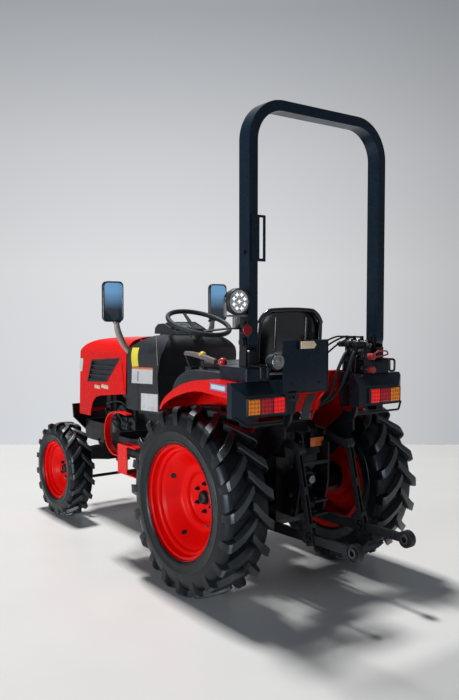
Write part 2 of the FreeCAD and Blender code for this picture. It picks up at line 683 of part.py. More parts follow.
def make_hoop():
    x0, x1 = hoop_rear_x, hoop_rear_x + hoop_depth
    w = hoop_wall
    tube = hoop_band(hoop_half_width, hoop_top_z, hoop_bend_radius, hoop_tube, hoop_pivot_z, x0, x1)
    hollow = hoop_band(hoop_half_width - w, hoop_top_z - w, hoop_bend_radius - w, hoop_tube - 2 * w,
                       hoop_pivot_z + 60, x0 + w, x1 - w)
    toes = both_sides(disc_y(hoop_depth / 2, hoop_half_width - hoop_tube, hoop_half_width, hoop_mid_x, hoop_pivot_z))
    bores = both_sides(disc_y(12 + running_fit, hoop_half_width - hoop_tube - 1, hoop_half_width + 1,
                              hoop_mid_x, hoop_pivot_z))
    hoop = tube.cut(hollow)
    y1 = hoop_half_width - hoop_tube
    handle = box(x0 - 6, x0, y1 - 36, y1 + 34, 1444, 1632).cut(box(x0 - 7, x0 + 1, y1 - 26, y1 - 4, 1456, 1622))
    bolts = both_sides(disc_y(9, hoop_half_width, hoop_half_width + 8, hoop_mid_x, 1481))
    hoop = fused([hoop] + toes + [handle] + bolts)
    for bore in bores:
        hoop = hoop.cut(bore)
    save("rops_hoop", hoop)


def make_hoop_base():
    """Posts bolted to the axle, with the ears and pins that the hoop folds on."""
    x0, x1 = hoop_rear_x, hoop_rear_x + hoop_depth
    y0, y1 = hoop_half_width - hoop_tube, hoop_half_width
    top = hoop_pivot_z - hoop_depth / 2 - hoop_rest_gap
    post = box(x0, x1, y0, y1, 780, top)
    half = 22
    ears, welds = [], []
    for inner, outer, sign in ((y1 + face_gap, y1 + 8, 1), (y0 - 8, y0 - face_gap, -1)):
        ears.append(box(hoop_mid_x - half, hoop_mid_x + half, inner, outer, top - 60, hoop_pivot_z))
        ears.append(disc_y(half, inner, outer, hoop_mid_x, hoop_pivot_z))
        weld_y = (y1, y1 + 8) if sign > 0 else (y0 - 8, y0)
        welds.append(box(hoop_mid_x - half, hoop_mid_x + half, weld_y[0], weld_y[1], top - 60, top - 10))
    pin = disc_y(12, y0 - 16, y1 + 16, hoop_mid_x, hoop_pivot_z)
    head = disc_y(17, y1 + 8, y1 + 16, hoop_mid_x, hoop_pivot_z)
    grip_x, grip_z = x0 - 72, fender_top_z + 70
    handle = bent_bar([(x0 + 4, y1 - 4, grip_z), (grip_x, y1 - 4, grip_z), (grip_x, y1 - 4, grip_z - 52),
                       (grip_x, y0 + 6, grip_z - 52), (grip_x, y0 + 6, grip_z), (x0 + 4, y0 + 6, grip_z)], 5, 10)
    stay = band_xz([(-352, 811), (-340, 770), (-304, 728), (-250, 702)],
                   [(-324, 811), (-314, 780), (-286, 748), (-240, 724)], 190, 203)
    shelf = box(x0, x1, 200, y1, 764, 784)
    cheek = side_plate([(x0, 770), (x1, 770), (60, 520), (60, 472), (-70, 472), (x0, 700)], 200, 212)
    foot = box(-70, 60, 182, 240, rear_axle_z + axle_trumpet_radius + face_gap, 486)
    base = fused([post] + ears + welds + [pin, head, handle, stay, shelf, cheek, foot])
    save("rops_base", Part.makeCompound(both_sides(base)))


def make_work_lamp():
    """Round lamp and red reflector on a bracket at the outer face of the left hoop post."""
    x, y = hoop_mid_x, hoop_half_width + face_gap
    cy, cz = hoop_half_width + 54, 1280
    head = turned_x([(0, -318), (46, -318), (46, -326), (54, -326), (54, -300), (44, -286), (30, -270), (0, -270)],
                    cy, cz)
    fins = [disc_x(46 - 4 * k, -291 + 7 * k, -288 + 7 * k, cy, cz) for k in range(3)]
    yoke = [box(-312, -298, cy - 30, cy + 30, cz - 62, cz - 50), box(-312, -298, cy - 14, cy + 14, 1176, cz - 54)]
    plate = box(-318, -262, y, y + 66, 1170, 1176)
    ear = box(-318, -262, y, y + 5, 1156, 1206)
    tab = box(-334, -318, y, y + 5, 1156, 1176)
    square = box(-334, -329, y, y + 46, 1146, 1186)
    reflector = disc_x(22, -341, -333, y + 22, 1166)
    save("work_lamp", fused([head] + fins + yoke + [plate, ear, tab, square, reflector]))


# ---------------------------------------------------------------- rear linkage
def make_linkage():
    w = link_thickness
    y0, y1 = link_y - w / 2, link_y + w / 2
    for name in ("left", "right"):
        bar = side_plate([(link_pivot_x, link_pivot_z - 22), (link_pivot_x, link_pivot_z + 22),
                          (link_ball_x + 20, link_ball_z + 18), (link_ball_x + 20, link_ball_z - 18)], y0, y1)
        eye = disc_y(28, y0, y1, link_pivot_x, link_pivot_z)
        ring = disc_y(36, link_y - 14, link_y + 14, link_ball_x, link_ball_z)
        ball = disc_y(20, link_y - 17.5, link_y + 17.5, link_ball_x, link_ball_z)
        pin = disc_y(8, y0 - 14, y1 + 14, lift_pin_x, lift_pin_z())
        groove = turned_y([(24, link_y + 10), (32, link_y + 10), (32, link_y + 15), (24, link_y + 15)],
                          link_ball_x, link_ball_z)
        link = fused([bar, eye, ring, ball, pin]).cut(groove)
        link = link.cut(disc_y(11 + running_fit, y0 - 1, y1 + 1, link_pivot_x, link_pivot_z))
        link = link.cut(disc_y(11.1, link_y - 20, link_y + 20, link_ball_x, link_ball_z))
        save("lower_link_" + name, link if name == "left" else mirrored(link))
        rod_shape = lift_rod()
        save("lift_rod_" + name, rod_shape if name == "left" else mirrored(rod_shape))
    shaft = disc_y(22, -140, 140, rock_x, rock_z)
    upper = [(rock_x + 20, rock_z + 34), (rock_x - 70, rock_z + 40), (rock_x - 170, rock_z + 22),
             (arm_end_x, arm_end_z + 18)]
    lower = [(rock_x + 20, rock_z - 32), (rock_x - 70, rock_z - 20), (rock_x - 170, rock_z - 20),
             (arm_end_x, arm_end_z - 18)]
    arm = band_xz(upper, lower, 126, 140)
    boss = disc_y(36, 126, 146, rock_x, rock_z)
    eye = disc_y(20, 126, 140, arm_end_x, arm_end_z)
    pin = disc_y(9, 126, link_y + 15, arm_end_x, arm_end_z)
    side = fused([arm, boss, eye, pin])
    save("lift_arms", fused([shaft, side, mirrored(side)]))


def lift_pin_z():
    """Height of the lift rod's pin on the lower link's centre line."""
    share = (lift_pin_x - link_pivot_x) / (link_ball_x - link_pivot_x)
    return link_pivot_z + share * (link_ball_z - link_pivot_z)


def lift_rod():
    """Twin straps between an eye at the lift arm and a slotted yoke at the lower link."""
    top = Vector(arm_end_x, link_y, arm_end_z)
    low = Vector(lift_pin_x, link_y, lift_pin_z())
    along = (low - top).normalize()
    length = (low - top).Length
    head = disc_y(22, link_y - 12, link_y + 12, arm_end_x, arm_end_z)
    gap = link_thickness / 2 + 1.5
    turn = FreeCAD.Rotation(Vector(0, 0, 1), along)
    straps = []
    for side in (1, -1):
        strap = Part.makeBox(22, 5, length - 74, Vector(-11, side * 9.5 - 2.5, 0))
        strap.Placement = FreeCAD.Placement(top + along * 16, turn)
        straps.append(strap)
    middle = Part.makeBox(26, 20, 34, Vector(-13, -10, 0))
    middle.Placement = FreeCAD.Placement(top + along * (length * 0.42), turn)
    yoke = Part.makeBox(46, 2 * (gap + 6), 92, Vector(-23, -(gap + 6), 0))
    yoke = yoke.cut(Part.makeBox(60, 2 * gap, 80, Vector(-30, -gap, 18)))
    yoke = yoke.cut(Part.makeBox(30, 80, 44, Vector(-15, -40, 34)))
    yoke.Placement = FreeCAD.Placement(top + along * (length - 62), turn)
    pin_room = disc_y(9 + running_fit, link_y - 30, link_y + 30, arm_end_x, arm_end_z)
    return fused(straps + [middle, yoke, head]).cut(pin_room)


def make_hitch():
    """Trailer hitch frame and jaw round the power take-off shaft."""
    plates = both_sides(side_plate([(-165 - face_gap, 330), (-250, 330), (-285, 480), (-285, 655), (-245, 655),
                                    (-245, 570), (-165 - face_gap, 500)], 78, 88))
    rungs = [box(-250, -225, -80, 80, 330, 342), box(-285, -275, -80, 80, 560, 575)]
    jaw = fused([box(-330, -225, -40, 40, 342, 352), box(-330, -225, -40, 40, 402, 412), box(-240, -225, -40, 40, 342, 412)])
    jaw = jaw.cut(disc_z(16, 330, 420, -295, 0))
    save("hitch", fused(plates + rungs + [jaw]))
    stub = disc_x(17.5, -268, -190, 0, 490)
    save("pto_shaft", stub)


# ---------------------------------------------------------------- bodywork
@lru_cache
def hood_block(grow, top, front, rear):
    """Solid between the hood's side, plan and front outlines, drawn in by grow."""
    w = hood_half_width - grow
    z_top = top - grow
    tip = hood_tip_z
    side_pts = [(front, tip - 40), (front - 4, 800), (front - 14, 925), (front - 60, 1000 - grow),
                (front - 150, 1050 - grow), (front - 300, 1078 - grow), (front - 450, 1090 - grow), (rear, z_top)]
    edges = [curve_xz(side_pts, -w - 10)]
    a, b = side_pts[0], side_pts[-1]
    edges.append(Part.makePolygon([Vector(b[0], -w - 10, b[1]), Vector(b[0], -w - 10, a[1]),
                                   Vector(a[0], -w - 10, a[1])]).Edges)
    flat = [edges[0]] + edges[1]
    side = Part.Face(Part.Wire(Part.__sortEdges__(flat))).extrude(Vector(0, 2 * w + 20, 0))
    nose = front
    plan_arc = Part.Arc(Vector(nose - 62, w, 500), Vector(nose, 0, 500), Vector(nose - 62, -w, 500)).toShape()
    back = Part.makePolygon([Vector(nose - 62, -w, 500), Vector(rear - 10, -w, 500), Vector(rear - 10, w, 500),
                             Vector(nose - 62, w, 500)]).Edges
    plan = Part.Face(Part.Wire(Part.__sortEdges__([plan_arc] + back))).extrude(Vector(0, 0, 700))
    lean = 16
    sec = [Vector(rear - 10, w, 500), Vector(rear - 10, w - lean, z_top - 110)]
    crown = Part.Arc(Vector(rear - 10, w - 92, z_top - 12), Vector(rear - 10, 0, z_top + 2),
                     Vector(rear - 10, -w + 92, z_top - 12)).toShape()
    left = Part.Arc(sec[1], Vector(rear - 10, w - lean - 22, z_top - 46), Vector(rear - 10, w - 92, z_top - 12)).toShape()
    right = Part.Arc(Vector(rear - 10, -w + 92, z_top - 12), Vector(rear - 10, -w + lean + 22, z_top - 46),
                     Vector(rear - 10, -w + lean, z_top - 110)).toShape()
    base = [Part.makeLine(sec[0], sec[1]), Part.makeLine(Vector(rear - 10, -w + lean, z_top - 110), Vector(rear - 10, -w, 500)),
            Part.makeLine(Vector(rear - 10, -w, 500), sec[0])]
    front_face = Part.Face(Part.Wire(Part.__sortEdges__([left, crown, right] + base)))
    section = front_face.extrude(Vector(front - rear + 40, 0, 0))
    return side.common(plan).common(section)


def make_hood():
    f, t = hood_front_x, hood_top_z
    low = hood_tip_z - 200
    lower = side_plate([(hood_rear_x - 20, t - 323), (f - 349, t - 359), (f - 280, t - 374), (f - 242, t - 404),
                        (f - 220, t - 448), (f - 212, hood_tip_z), (f + 90, hood_tip_z), (f + 90, low),
                        (hood_rear_x - 20, low)], -300, 300)
    shell = hood_sheet(0, hood_skin, 20).cut(lower)
    crease = [(f - 604, t - 150), (f - 426, t - 288), (f - 300, t - 300), (f - 330, t - 318), (f - 636, t - 308)]
    raised = hood_sheet(-3.5, hood_skin / 2).common(side_plate(crease, -300, 300))
    vent = side_plate(side_vent(0), -300, 300)
    grille = front_plate(front_vent(0), f - 112, f + 90)
    shell = fused([shell, raised]).cut(vent).cut(grille)
    for side in (1, -1):
        shell = shell.cut(lamp_window(side))
    ears = []
    for side in (1, -1):
        px, pz = hood_pivot_x, hood_pivot_z
        ear = side_plate([(px - 12, pz - 12), (px + 14, pz - 12), (hood_rear_x + 30, t - 32),
                          (hood_rear_x + 30, t - 10), (hood_rear_x + 2, t - 10), (px - 12, pz + 12)],
                         105 + face_gap, 113)
        ear = ear.cut(disc_y(6 + running_fit, 100, 120, px, pz))
        ears.append(ear if side == 1 else mirrored(ear))
    save("hood", fused([shell] + ears))


def make_headlamps():
    lamps = []
    for side in (1, -1):
        lens = hood_sheet(-3, 16).common(lamp_window(side))
        groove = hood_sheet(-4, -0.5).common(box(hood_front_x - 120, hood_front_x + 90, -300, 300,
                                                 hood_top_z - 190, hood_top_z - 187))
        lamps.append(lens.cut(groove))
    save("headlamps", Part.makeCompound(lamps))


def make_mirrors():
    """Mirror heads on bent arms that stand on the bulkhead's upper corners."""
    shells, glasses = [], []
    y, x = 350, 935
    shell = box(x, x + 34, y - 62, y + 62, 1185, 1405)
    shell = shell.makeFillet(26, [e for e in shell.Edges if abs(e.Length - 34) < 0.1])
    shell = shell.makeFillet(9, [e for e in shell.Edges if min(v.X for v in e.Vertexes) > x + 33])
    opening = box(x - 1, x + 6, y - 54, y + 54, 1193, 1397)
    opening = opening.makeFillet(18, [e for e in opening.Edges if abs(e.Length - 7) < 0.1])
    glass = box(x + 2, x + 6 - face_gap, y - 54 + face_gap, y + 54 - face_gap, 1193 + face_gap, 1397 - face_gap)
    glass = glass.makeFillet(18 - face_gap, [e for e in glass.Edges if abs(e.Length - (4 - face_gap)) < 0.01])
    arm = bent_bar([(x + 24, y - 26, 1212), (x + 22, y - 34, 1150), (x + 50, 262, 1062), (1004, 210, 992)], 11, 60)
    knuckle = disc_x(17, x + 12, x + 44, y - 28, 1186)
    foot = box(975, 1040, 180, 214, 965, 1015)
    arm = fused([shell.cut(opening), arm, knuckle, foot])
    arm = arm.cut(hood_block(16 - face_gap, hood_top_z, hood_front_x, 900))
    save("mirrors", Part.makeCompound(both_sides(arm)))
    save("mirror_glass", Part.makeCompound(both_sides(glass)))


def make_plate():
    """Blank number plate with its lamp on a strut, and the trailer socket beside it."""
    x = cap_rear_x - 14
    plate = box(x - 3, x, 20, 277, 900, 1122)
    lamp = front_plate([(102, 1084), (178, 1084), (192, 1101), (178, 1118), (102, 1118)],
                       x - 22, x - 3)
    strut = box(x, cap_rear_x - face_gap, 200, 250, 870, 898)
    tab = box(x - 3, x, 200, 250, 870, 905)
    arm = box(x - 3, x, 277, 330, 1010, 1060)
    socket = disc_x(30, x - 3, x + 44, 306, 1036)
    flange = disc_x(36, x - 6, x, 306, 1036)
    lid = box(x - 14, x - 6, 276, 336, 1006, 1066).common(disc_x(33, x - 16, x - 4, 306, 1036))
    hinge = disc_y(6, 290, 322, x - 8, 1071)
    save("number_plate", fused([plate, lamp, strut, tab, arm, socket, flange, lid, hinge]))


def make_controls():
    """Side levers with their knobs on the left console, and the pedals on their cross shaft."""
    y = 270
    console = nodes["consoles"].copy()
    console.translate(Vector(-frame_shift, 0, 0))
    stem = rod((300, y, 960), (352, y, 1040), 7)
    grip = bent_bar([(110, y, 1010), (230, y, 1030), (352, y, 1036)], 10, 200)
    tip = Part.makeSphere(13, Vector(110, y, 1010))
    gate = box(280, 330, y - 14, y + 14, 940, 974)
    side_levers = [fused([stem, grip, tip, gate])]
    for x, lean, height, knob in ((60, -10, 1008, 17), (200, 12, 1020, 14)):
        stick = rod((x, y - 12, 950), (x + lean, y - 6, height), 5)
        ball = Part.makeSphere(knob, Vector(x + lean, y - 6, height))
        gaiter = Part.makeCone(17, 9, 18, Vector(x, y - 12, 962))
        side_levers.append(fused([stick, ball, gaiter]))
    shaft = disc_y(8, -cowl_half_width + cowl_skin + face_gap, cowl_half_width - cowl_skin - face_gap, 780, 780)
    arms = [rod((640, side * 190, 640), (780, side * 190, 780), 8) for side in (1, -1)]
    pads = [box(605, 655, side * 190 - 36, side * 190 + 36, 630, 642) for side in (1, -1)]
    levers = [lever.cut(console) for lever in side_levers]
    save("controls", Part.makeCompound(levers + [fused([shaft] + arms + pads)]))


def make_valve():
    """Spool valve on the right rear corner with its couplers, their red caps and the two hoses."""
    t = fender_top_z
    y1 = -(fender_inner_y + 4.4)
    y0 = -(hoop_half_width - hoop_tube - 16)
    z0 = t + 62 + face_gap
    sections = [box(-300 + 48 * k, -260 + 48 * k, y0, y1, z0 + 14, z0 + 80) for k in range(3)]
    spools = [disc_z(7, z0 + 78, z0 + 96, -280 + 48 * k, (y0 + y1) / 2) for k in range(3)]
    spine = box(-304, -156, y0, y1, z0, z0 + 20)
    arm = box(-330, -300, y1 - 6, y1 + 12, z0 + 2, z0 + 16)
    plate = box(-330, -324, y1 + 4.4, y1 + 42, t + 7, z0 + 50)
    y = y1 + 24
    heights = (t + 25, t + 85)
    couplers = [disc_x(12, -345, -300, y, z) for z in heights]
    save("aux_valve", fused(sections + spools + [spine, arm, plate] + couplers))
    caps = [disc_x(15, -371, -345 - face_gap, y, z) for z in heights]
    x, z = -358, heights[1]
    tether = bent_bar([(x, y - 8, z + 4), (x, y - 44, z + 25), (x, y - 100, z + 23), (x, y - 112, z + 7),
                       (x, y - 60, z), (x, y - 8, z - 5)], 3.5, 16)
    save("coupler_caps", Part.makeCompound([caps[0], caps[1].fuse(tether)]))
    hoses = []
    for k in range(2):
        x, shift = -280 + 48 * k, 26 * k
        foot_x, foot_y = -144 + shift, -94 + shift
        hoses.append(bent_bar([(x, y1 + face_gap, z0 + 48), (x, y1 + 62, z0 + 48), (x, -204 + shift, z0 - 60),
                               (-216, -178 + shift, 832), (foot_x - 30, foot_y - 24, 805),
                               (foot_x, foot_y, 782), (foot_x, foot_y, 735 + face_gap)], 8, 60))
    save("valve_hoses", Part.makeCompound(hoses))


def faceted_ring(profile, segments, x, z):
    """A ring of flat panels: a closed (radius, y) outline stepped round the axle through x, z."""
    rings = []
    for k in range(segments):
        angle = 2 * math.pi * (k + 0.5) / segments
        rings.append([Vector(x + r * math.sin(angle), y, z + r * math.cos(angle)) for r, y in profile])
    faces = []
    for k in range(segments):
        here, there = rings[k], rings[(k + 1) % segments]
        for i in range(len(profile)):
            j = (i + 1) % len(profile)
            panel = [here[i], here[j], there[j], there[i], here[i]]
            faces.append(Part.Face(Part.makePolygon(panel)))
    return solid_of(faces)


def solid_of(faces):
    solid = Part.Solid(Part.Shell(faces))
    if solid.Volume < 0:
        solid.reverse()
    return solid


def lug(radius, half, height, top, base, sweep, angle, side, x, y, z):
    """One tread bar, from the centre line back and out to the shoulder.

    Its flanks are flat and lean outwards by the same slope all along, down to a foot that lies
    inside the carcass."""
    middle = angle - sweep / 2
    inward = Vector(-math.sin(middle), 0, -math.cos(middle)) * (height + 12)
    forward = Vector(math.cos(middle), 0, -math.sin(middle)) * (base - top)
    rings = []
    for share, turn, high in ((0.02, 0.0, radius), (0.95, -sweep, radius - 0.25 * height)):
        level = y + side * share * half
        lead, trail = [Vector(x + high * math.sin(phi), level, z + high * math.cos(phi))
                       for phi in (angle + turn + top / radius, angle + turn - top / radius)]
        rings.append([lead, trail, trail + inward - forward, lead + inward + forward])
    here, there = rings
    outlines = [here, there, [here[0], here[1], there[1]], [here[0], there[1], there[0]]]
    outlines += [[here[i], here[(i + 1) % 4], there[(i + 1) % 4], there[i]] for i in (1, 3)]
    outlines += [[here[2], here[3], there[3]], [here[2], there[3], there[2]]]
    return solid_of([Part.Face(Part.makePolygon([*corners, corners[0]])) for corners in outlines])


def hand_hole(inner, outer, spread, angle, x, z):
    """A four-sided opening between two radii, wider at the outside."""
    def spot(r, a):
        return x + r * math.cos(math.radians(a)), z + r * math.sin(math.radians(a))
    corners = [spot(inner, angle - 0.7 * spread), spot(outer, angle - spread), spot(outer, angle + spread),
               spot(inner, angle + 0.7 * spread)]
    return side_plate(corners, 0, 900)


def ring_of_nuts(circle, size, count, y0, y1, x, z):
    """Hexagon nuts on a circle, their flats facing the axle."""
    nuts = []
    for k in range(count):
        angle = 2 * math.pi * (k + 0.5) / count
        cx, cz = x + circle * math.cos(angle), z + circle * math.sin(angle)
        corners = [(cx + size * math.cos(angle + math.pi * (j / 3 + 1 / 6)),
                    cz + size * math.sin(angle + math.pi * (j / 3 + 1 / 6))) for j in range(6)]
        nuts.append(side_plate(corners, y0, y1))
    return nuts


@lru_cache
def hood_sheet(outside, inside, rear=0.0):
    """The hood's own curved sheet between two depths below its outer face."""
    outer = hood_block(outside, hood_top_z, hood_front_x - outside, hood_rear_x)
    return outer.cut(hood_block(inside, hood_top_z, hood_front_x - inside, hood_rear_x - rear))


def side_vent(inset):
    """Outline of the side grille; the inset one is its louvred window, further forward."""
    f, t = hood_front_x, hood_top_z
    if not inset:
        return [(f - 580, t - 122), (f - 212, t - 150), (f - 160, t - 290), (f - 420, t - 274)]
    return [(f - 552, t - 134), (f - 221, t - 160), (f - 172, t - 281), (f - 414, t - 266)]


def front_vent(inset):
    """Outline of the front grille in the (y, z) plane."""
    t = hood_top_z
    half, foot, head = 158 - inset, t - 471 + inset, t - 246 - inset
    return [(-half + 8, foot), (half - 8, foot), (half + 7, head), (-half - 7, head)]


def make_grilles():
    """Louvred black panels let into the hood: a frame, a backing sheet and a row of slats each."""
    f, t = hood_front_x, hood_top_z
    frame, backing, blades = hood_sheet(-1.5, 12), hood_sheet(12, 16), hood_sheet(1, 13)
    panels = []
    for side in (1, -1):
        y0, y1 = sorted((side * 100, side * 300))
        outline, window = side_plate(side_vent(0), y0, y1), side_plate(side_vent(1), y0 - 1, y1 + 1)
        blade = blades.common(window)
        pieces = [frame.common(outline).cut(window), backing.common(outline)]
        for k in range(4):
            z = t - 170 - k * 29.5
            slat = side_plate([(f - 560, z), (f - 130, z - 12), (f - 130, z - 21), (f - 560, z - 9)], y0, y1)
            pieces.append(blade.common(slat))
        panels.append(fused(pieces))
    outline = front_plate(front_vent(0), f - 112, f + 90)
    window = front_plate(front_vent(12), f - 113, f + 91)
    blade = blades.common(window)
    pieces = [frame.common(outline).cut(window), backing.common(outline)]
    for k in range(9):
        z = t - 452 + k * 22.5
        pieces.append(blade.common(box(f - 112, f + 90, -200, 200, z, z + 8)))
    panels.append(fused(pieces))
    save("hood_grilles", Part.makeCompound(panels))


def lamp_window(side):
    """Cut for a headlamp at one front corner of the hood, wrapping round to its side."""
    f, t = hood_front_x, hood_top_z
    outline = [(104, t - 236), (232, t - 228), (232, t - 146), (122, t - 158)]
    window = front_plate([(side * y, z) for y, z in outline], f - 104, f + 90)
    lower = side_plate([(f - 104, t - 240), (f - 84, t - 240), (f - 104, t - 140)], -300, 300)
    return window.cut(lower)


def band_xz_closed(upper, lower, y0, y1):
    """A pad outline between two smooth curves that meet at their front end."""
    top, bottom = curve_xz(upper, y0), curve_xz(lower, y0)
    rear = Part.makeLine(Vector(upper[0][0], y0, upper[0][1]), Vector(lower[0][0], y0, lower[0][1]))
    wire = Part.Wire(Part.__sortEdges__([top, bottom, rear]))
    return Part.Face(wire).extrude(Vector(0, y1 - y0, 0))


def rounded_plan(x0, x1, half, bend, z0, z1):
    """A round-cornered rectangle seen from above, as a block."""
    body = box(x0, x1, -half, half, z0, z1)
    uprights = [e for e in body.Edges if abs(e.Length - (z1 - z0)) < 0.1 and
                abs(e.Vertexes[0].X - e.Vertexes[1].X) < 0.1 and abs(e.Vertexes[0].Y - e.Vertexes[1].Y) < 0.1]
    return body.makeFillet(bend, uprights)


def rounded_front(half, z0, z1, bend, x0, x1):
    """A block whose upper two corners are round, seen from behind."""
    body = box(x0, x1, -half, half, z0, z1)
    edges = [e for e in body.Edges if abs(e.Vertexes[0].Z - z1) < 0.1 and abs(e.Vertexes[1].Z - z1) < 0.1 and
             abs(e.Vertexes[0].Y - e.Vertexes[1].Y) < 0.1]
    return body.makeFillet(bend, edges)


def seat_deck():
    """Red sheet behind the seat, between the consoles, open low down for the hoses."""
    x0, x1, y = -200, -120 - face_gap, 236
    wall = box(x0, x0 + fender_sheet, -y - 24, y + 24, 790, 962)
    wall = wall.cut(front_plate([(-96, 780), (-236, 780), (-214, 862), (-118, 862)], x0 - 1, x0 + 10))
    returns = both_sides(box(x0, x1, y + 20, y + 24, 800, 940))
    shelf = box(x0, x0 + 44, -y - 24, y + 24, 962, 966)
    return fused([wall, shelf] + returns)


def turned_x(profile, y, z):
    """A closed (radius, x) profile revolved about the line along the machine through y, z."""
    pts = [Vector(x, y, z + r) for r, x in profile + profile[:1]]
    return Part.Face(Part.makePolygon(pts)).revolve(Vector(0, y, z), Vector(1, 0, 0), 360)


def main():
    os.makedirs("parts", exist_ok=True)
    make_wheels()
    make_transmission()
    make_engine()
    make_radiator()
    make_front_frame()
    make_front_axle()
    make_knuckles()
    make_platform()
    make_steps()
    make_dash()
    make_instruments()
    make_firewall()
    make_steering()
    make_seat()
    make_fenders()
    make_consoles()
    make_caps()
    make_hoop()
    make_hoop_base()
    make_work_lamp()
    make_linkage()
    make_hitch()
    make_hood()
    make_grilles()
    make_headlamps()
    make_mirrors()
    make_plate()
    make_controls()
    make_valve()
    for name, shape in nodes.items():
        shape.exportStep(f"parts/{name}.step")


main()
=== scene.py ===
import math
from itertools import product

import bmesh
import bpy
from mathutils import Matrix, Vector
from mathutils.bvhtree import BVHTree


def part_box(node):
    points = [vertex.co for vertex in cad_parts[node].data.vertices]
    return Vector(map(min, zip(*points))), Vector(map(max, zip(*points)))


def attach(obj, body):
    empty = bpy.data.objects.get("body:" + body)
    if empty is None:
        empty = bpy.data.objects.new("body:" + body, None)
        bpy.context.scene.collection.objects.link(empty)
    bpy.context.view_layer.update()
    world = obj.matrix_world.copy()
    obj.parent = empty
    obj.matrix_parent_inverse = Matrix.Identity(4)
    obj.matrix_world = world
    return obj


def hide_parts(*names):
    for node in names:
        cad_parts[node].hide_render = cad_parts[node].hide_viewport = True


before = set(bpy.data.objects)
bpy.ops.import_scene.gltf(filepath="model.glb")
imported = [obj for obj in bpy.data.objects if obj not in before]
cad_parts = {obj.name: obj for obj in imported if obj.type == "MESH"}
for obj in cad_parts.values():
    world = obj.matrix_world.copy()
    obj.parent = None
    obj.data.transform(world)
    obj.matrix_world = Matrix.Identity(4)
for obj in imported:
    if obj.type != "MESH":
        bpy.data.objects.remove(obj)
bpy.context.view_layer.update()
print("frame loaded:", len(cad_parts), "nodes")

cameraSet = dict(place=(-3.2839, 2.2852, 1.2376), yaw=-0.6386, pitch=-0.0502, lens=38.75)


def makeCamera(spec):
    data = bpy.data.cameras.new("yardCamera")
    data.lens = spec["lens"]
    cam = bpy.data.objects.new("yardCamera", data)
    bpy.context.scene.collection.objects.link(cam)
    level = math.cos(spec["pitch"])
    ahead = Vector((math.cos(spec["yaw"]) * level, math.sin(spec["yaw"]) * level, math.sin(spec["pitch"])))
    cam.location = spec["place"]
    cam.rotation_mode = "QUATERNION"
    cam.rotation_quaternion = ahead.to_track_quat("-Z", "Y")
    bpy.context.scene.camera = cam


makeCamera(cameraSet)

# places below are millimetres from the rear axle line, the centre plane and the ground
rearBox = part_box("tyre_rear_left")
axleX = (rearBox[0][0] + rearBox[1][0]) / 2
forward, backward = Vector((1, 0, 0)), Vector((-1, 0, 0))
leftward, upward, downward = Vector((0, 1, 0)), Vector((0, 0, 1)), Vector((0, 0, -1))


def spot(x, y, z):
    return Vector((axleX + x / 1000, y / 1000, z / 1000))


# material nodes
def newMaterial(name):
    mat = bpy.data.materials.new(name)
    mat.use_nodes = True
    tree = mat.node_tree
    return mat, tree, tree.nodes["Principled BSDF"]


def feed(tree, socket, value):
    # a socket takes another node's output, or a fixed value
    if isinstance(value, bpy.types.NodeSocket):
        tree.links.new(value, socket)
    else:
        socket.default_value = value


def addNode(tree, kind, **values):
    node = tree.nodes.new(kind)
    for key, value in values.items():
        if key in node.inputs:
            feed(tree, node.inputs[key], value)
        else:
            setattr(node, key, value)
    return node


def mathOf(tree, operation, *values):
    node = addNode(tree, "ShaderNodeMath", operation=operation)
    for socket, value in zip(node.inputs, values):
        feed(tree, socket, value)
    return node.outputs[0]


def objectPlace(tree):
    return addNode(tree, "ShaderNodeTexCoord").outputs["Object"]


def noiseOf(tree, scale, detail=3.0, rough=0.5):
    spread = dict(Scale=scale, Detail=detail, Roughness=rough, Vector=objectPlace(tree))
    return addNode(tree, "ShaderNodeTexNoise", **spread).outputs["Fac"]


def rampOf(tree, source, stops):
    ramp = addNode(tree, "ShaderNodeValToRGB")
    band = ramp.color_ramp
    while len(band.elements) < len(stops):
        band.elements.new(0.5)
    for element, (place, colour) in zip(band.elements, stops):
        element.position = place
        element.color = (*colour, 1)
    tree.links.new(source, ramp.inputs["Fac"])
    return ramp.outputs["Color"]


def greyRamp(tree, source, low, high, start=0.3, end=0.7):
    return rampOf(tree, source, [(start, (low,) * 3), (end, (high,) * 3)])


def mixed(tree, share, under, over):
    mix = addNode(tree, "ShaderNodeMix", data_type="RGBA")
    tree.links.new(share, mix.inputs["Factor"])
    tree.links.new(under, mix.inputs["A"])
    tree.links.new(over, mix.inputs["B"])
    return mix.outputs["Result"]


def edgeShare(tree):
    # bright only where the surface turns sharply outwards, for rubbed edges
    shape = addNode(tree, "ShaderNodeNewGeometry").outputs["Pointiness"]
    return greyRamp(tree, shape, 0.0, 1.0, 0.58, 0.72)


def bumpFrom(tree, shader, height, strength, distance):
    bump = addNode(tree, "ShaderNodeBump", Strength=strength, Distance=distance, Height=height)
    tree.links.new(bump.outputs["Normal"], shader.inputs["Normal"])


def dressShader(tree, shader, base, rough, roughScale=None, **values):
    # colour, a roughness that wanders between two values, and any fixed sockets
    feed(tree, shader.inputs["Base Color"], base)
    if roughScale:
        rough = greyRamp(tree, noiseOf(tree, roughScale, 4), *rough)
    feed(tree, shader.inputs["Roughness"], rough)
    for key, value in values.items():
        shader.inputs[key].default_value = value


# finishes
def paintFinish(name, colour, dark, rubbed, rough, coat, peel, level):
    mat, tree, shader = newMaterial(name)
    base = rampOf(tree, noiseOf(tree, 7, 5), [(0.32, dark), (0.62, colour)])
    worn = rampOf(tree, noiseOf(tree, 60, 4), [(0.45, colour), (0.6, rubbed)])
    skin = {"Coat Weight": coat, "Coat Roughness": 0.1, "Specular IOR Level": level}
    dressShader(tree, shader, mixed(tree, edgeShare(tree), base, worn), rough, 22, **skin)
    bumpFrom(tree, shader, noiseOf(tree, 420, 2), peel, 0.0004)
    return mat


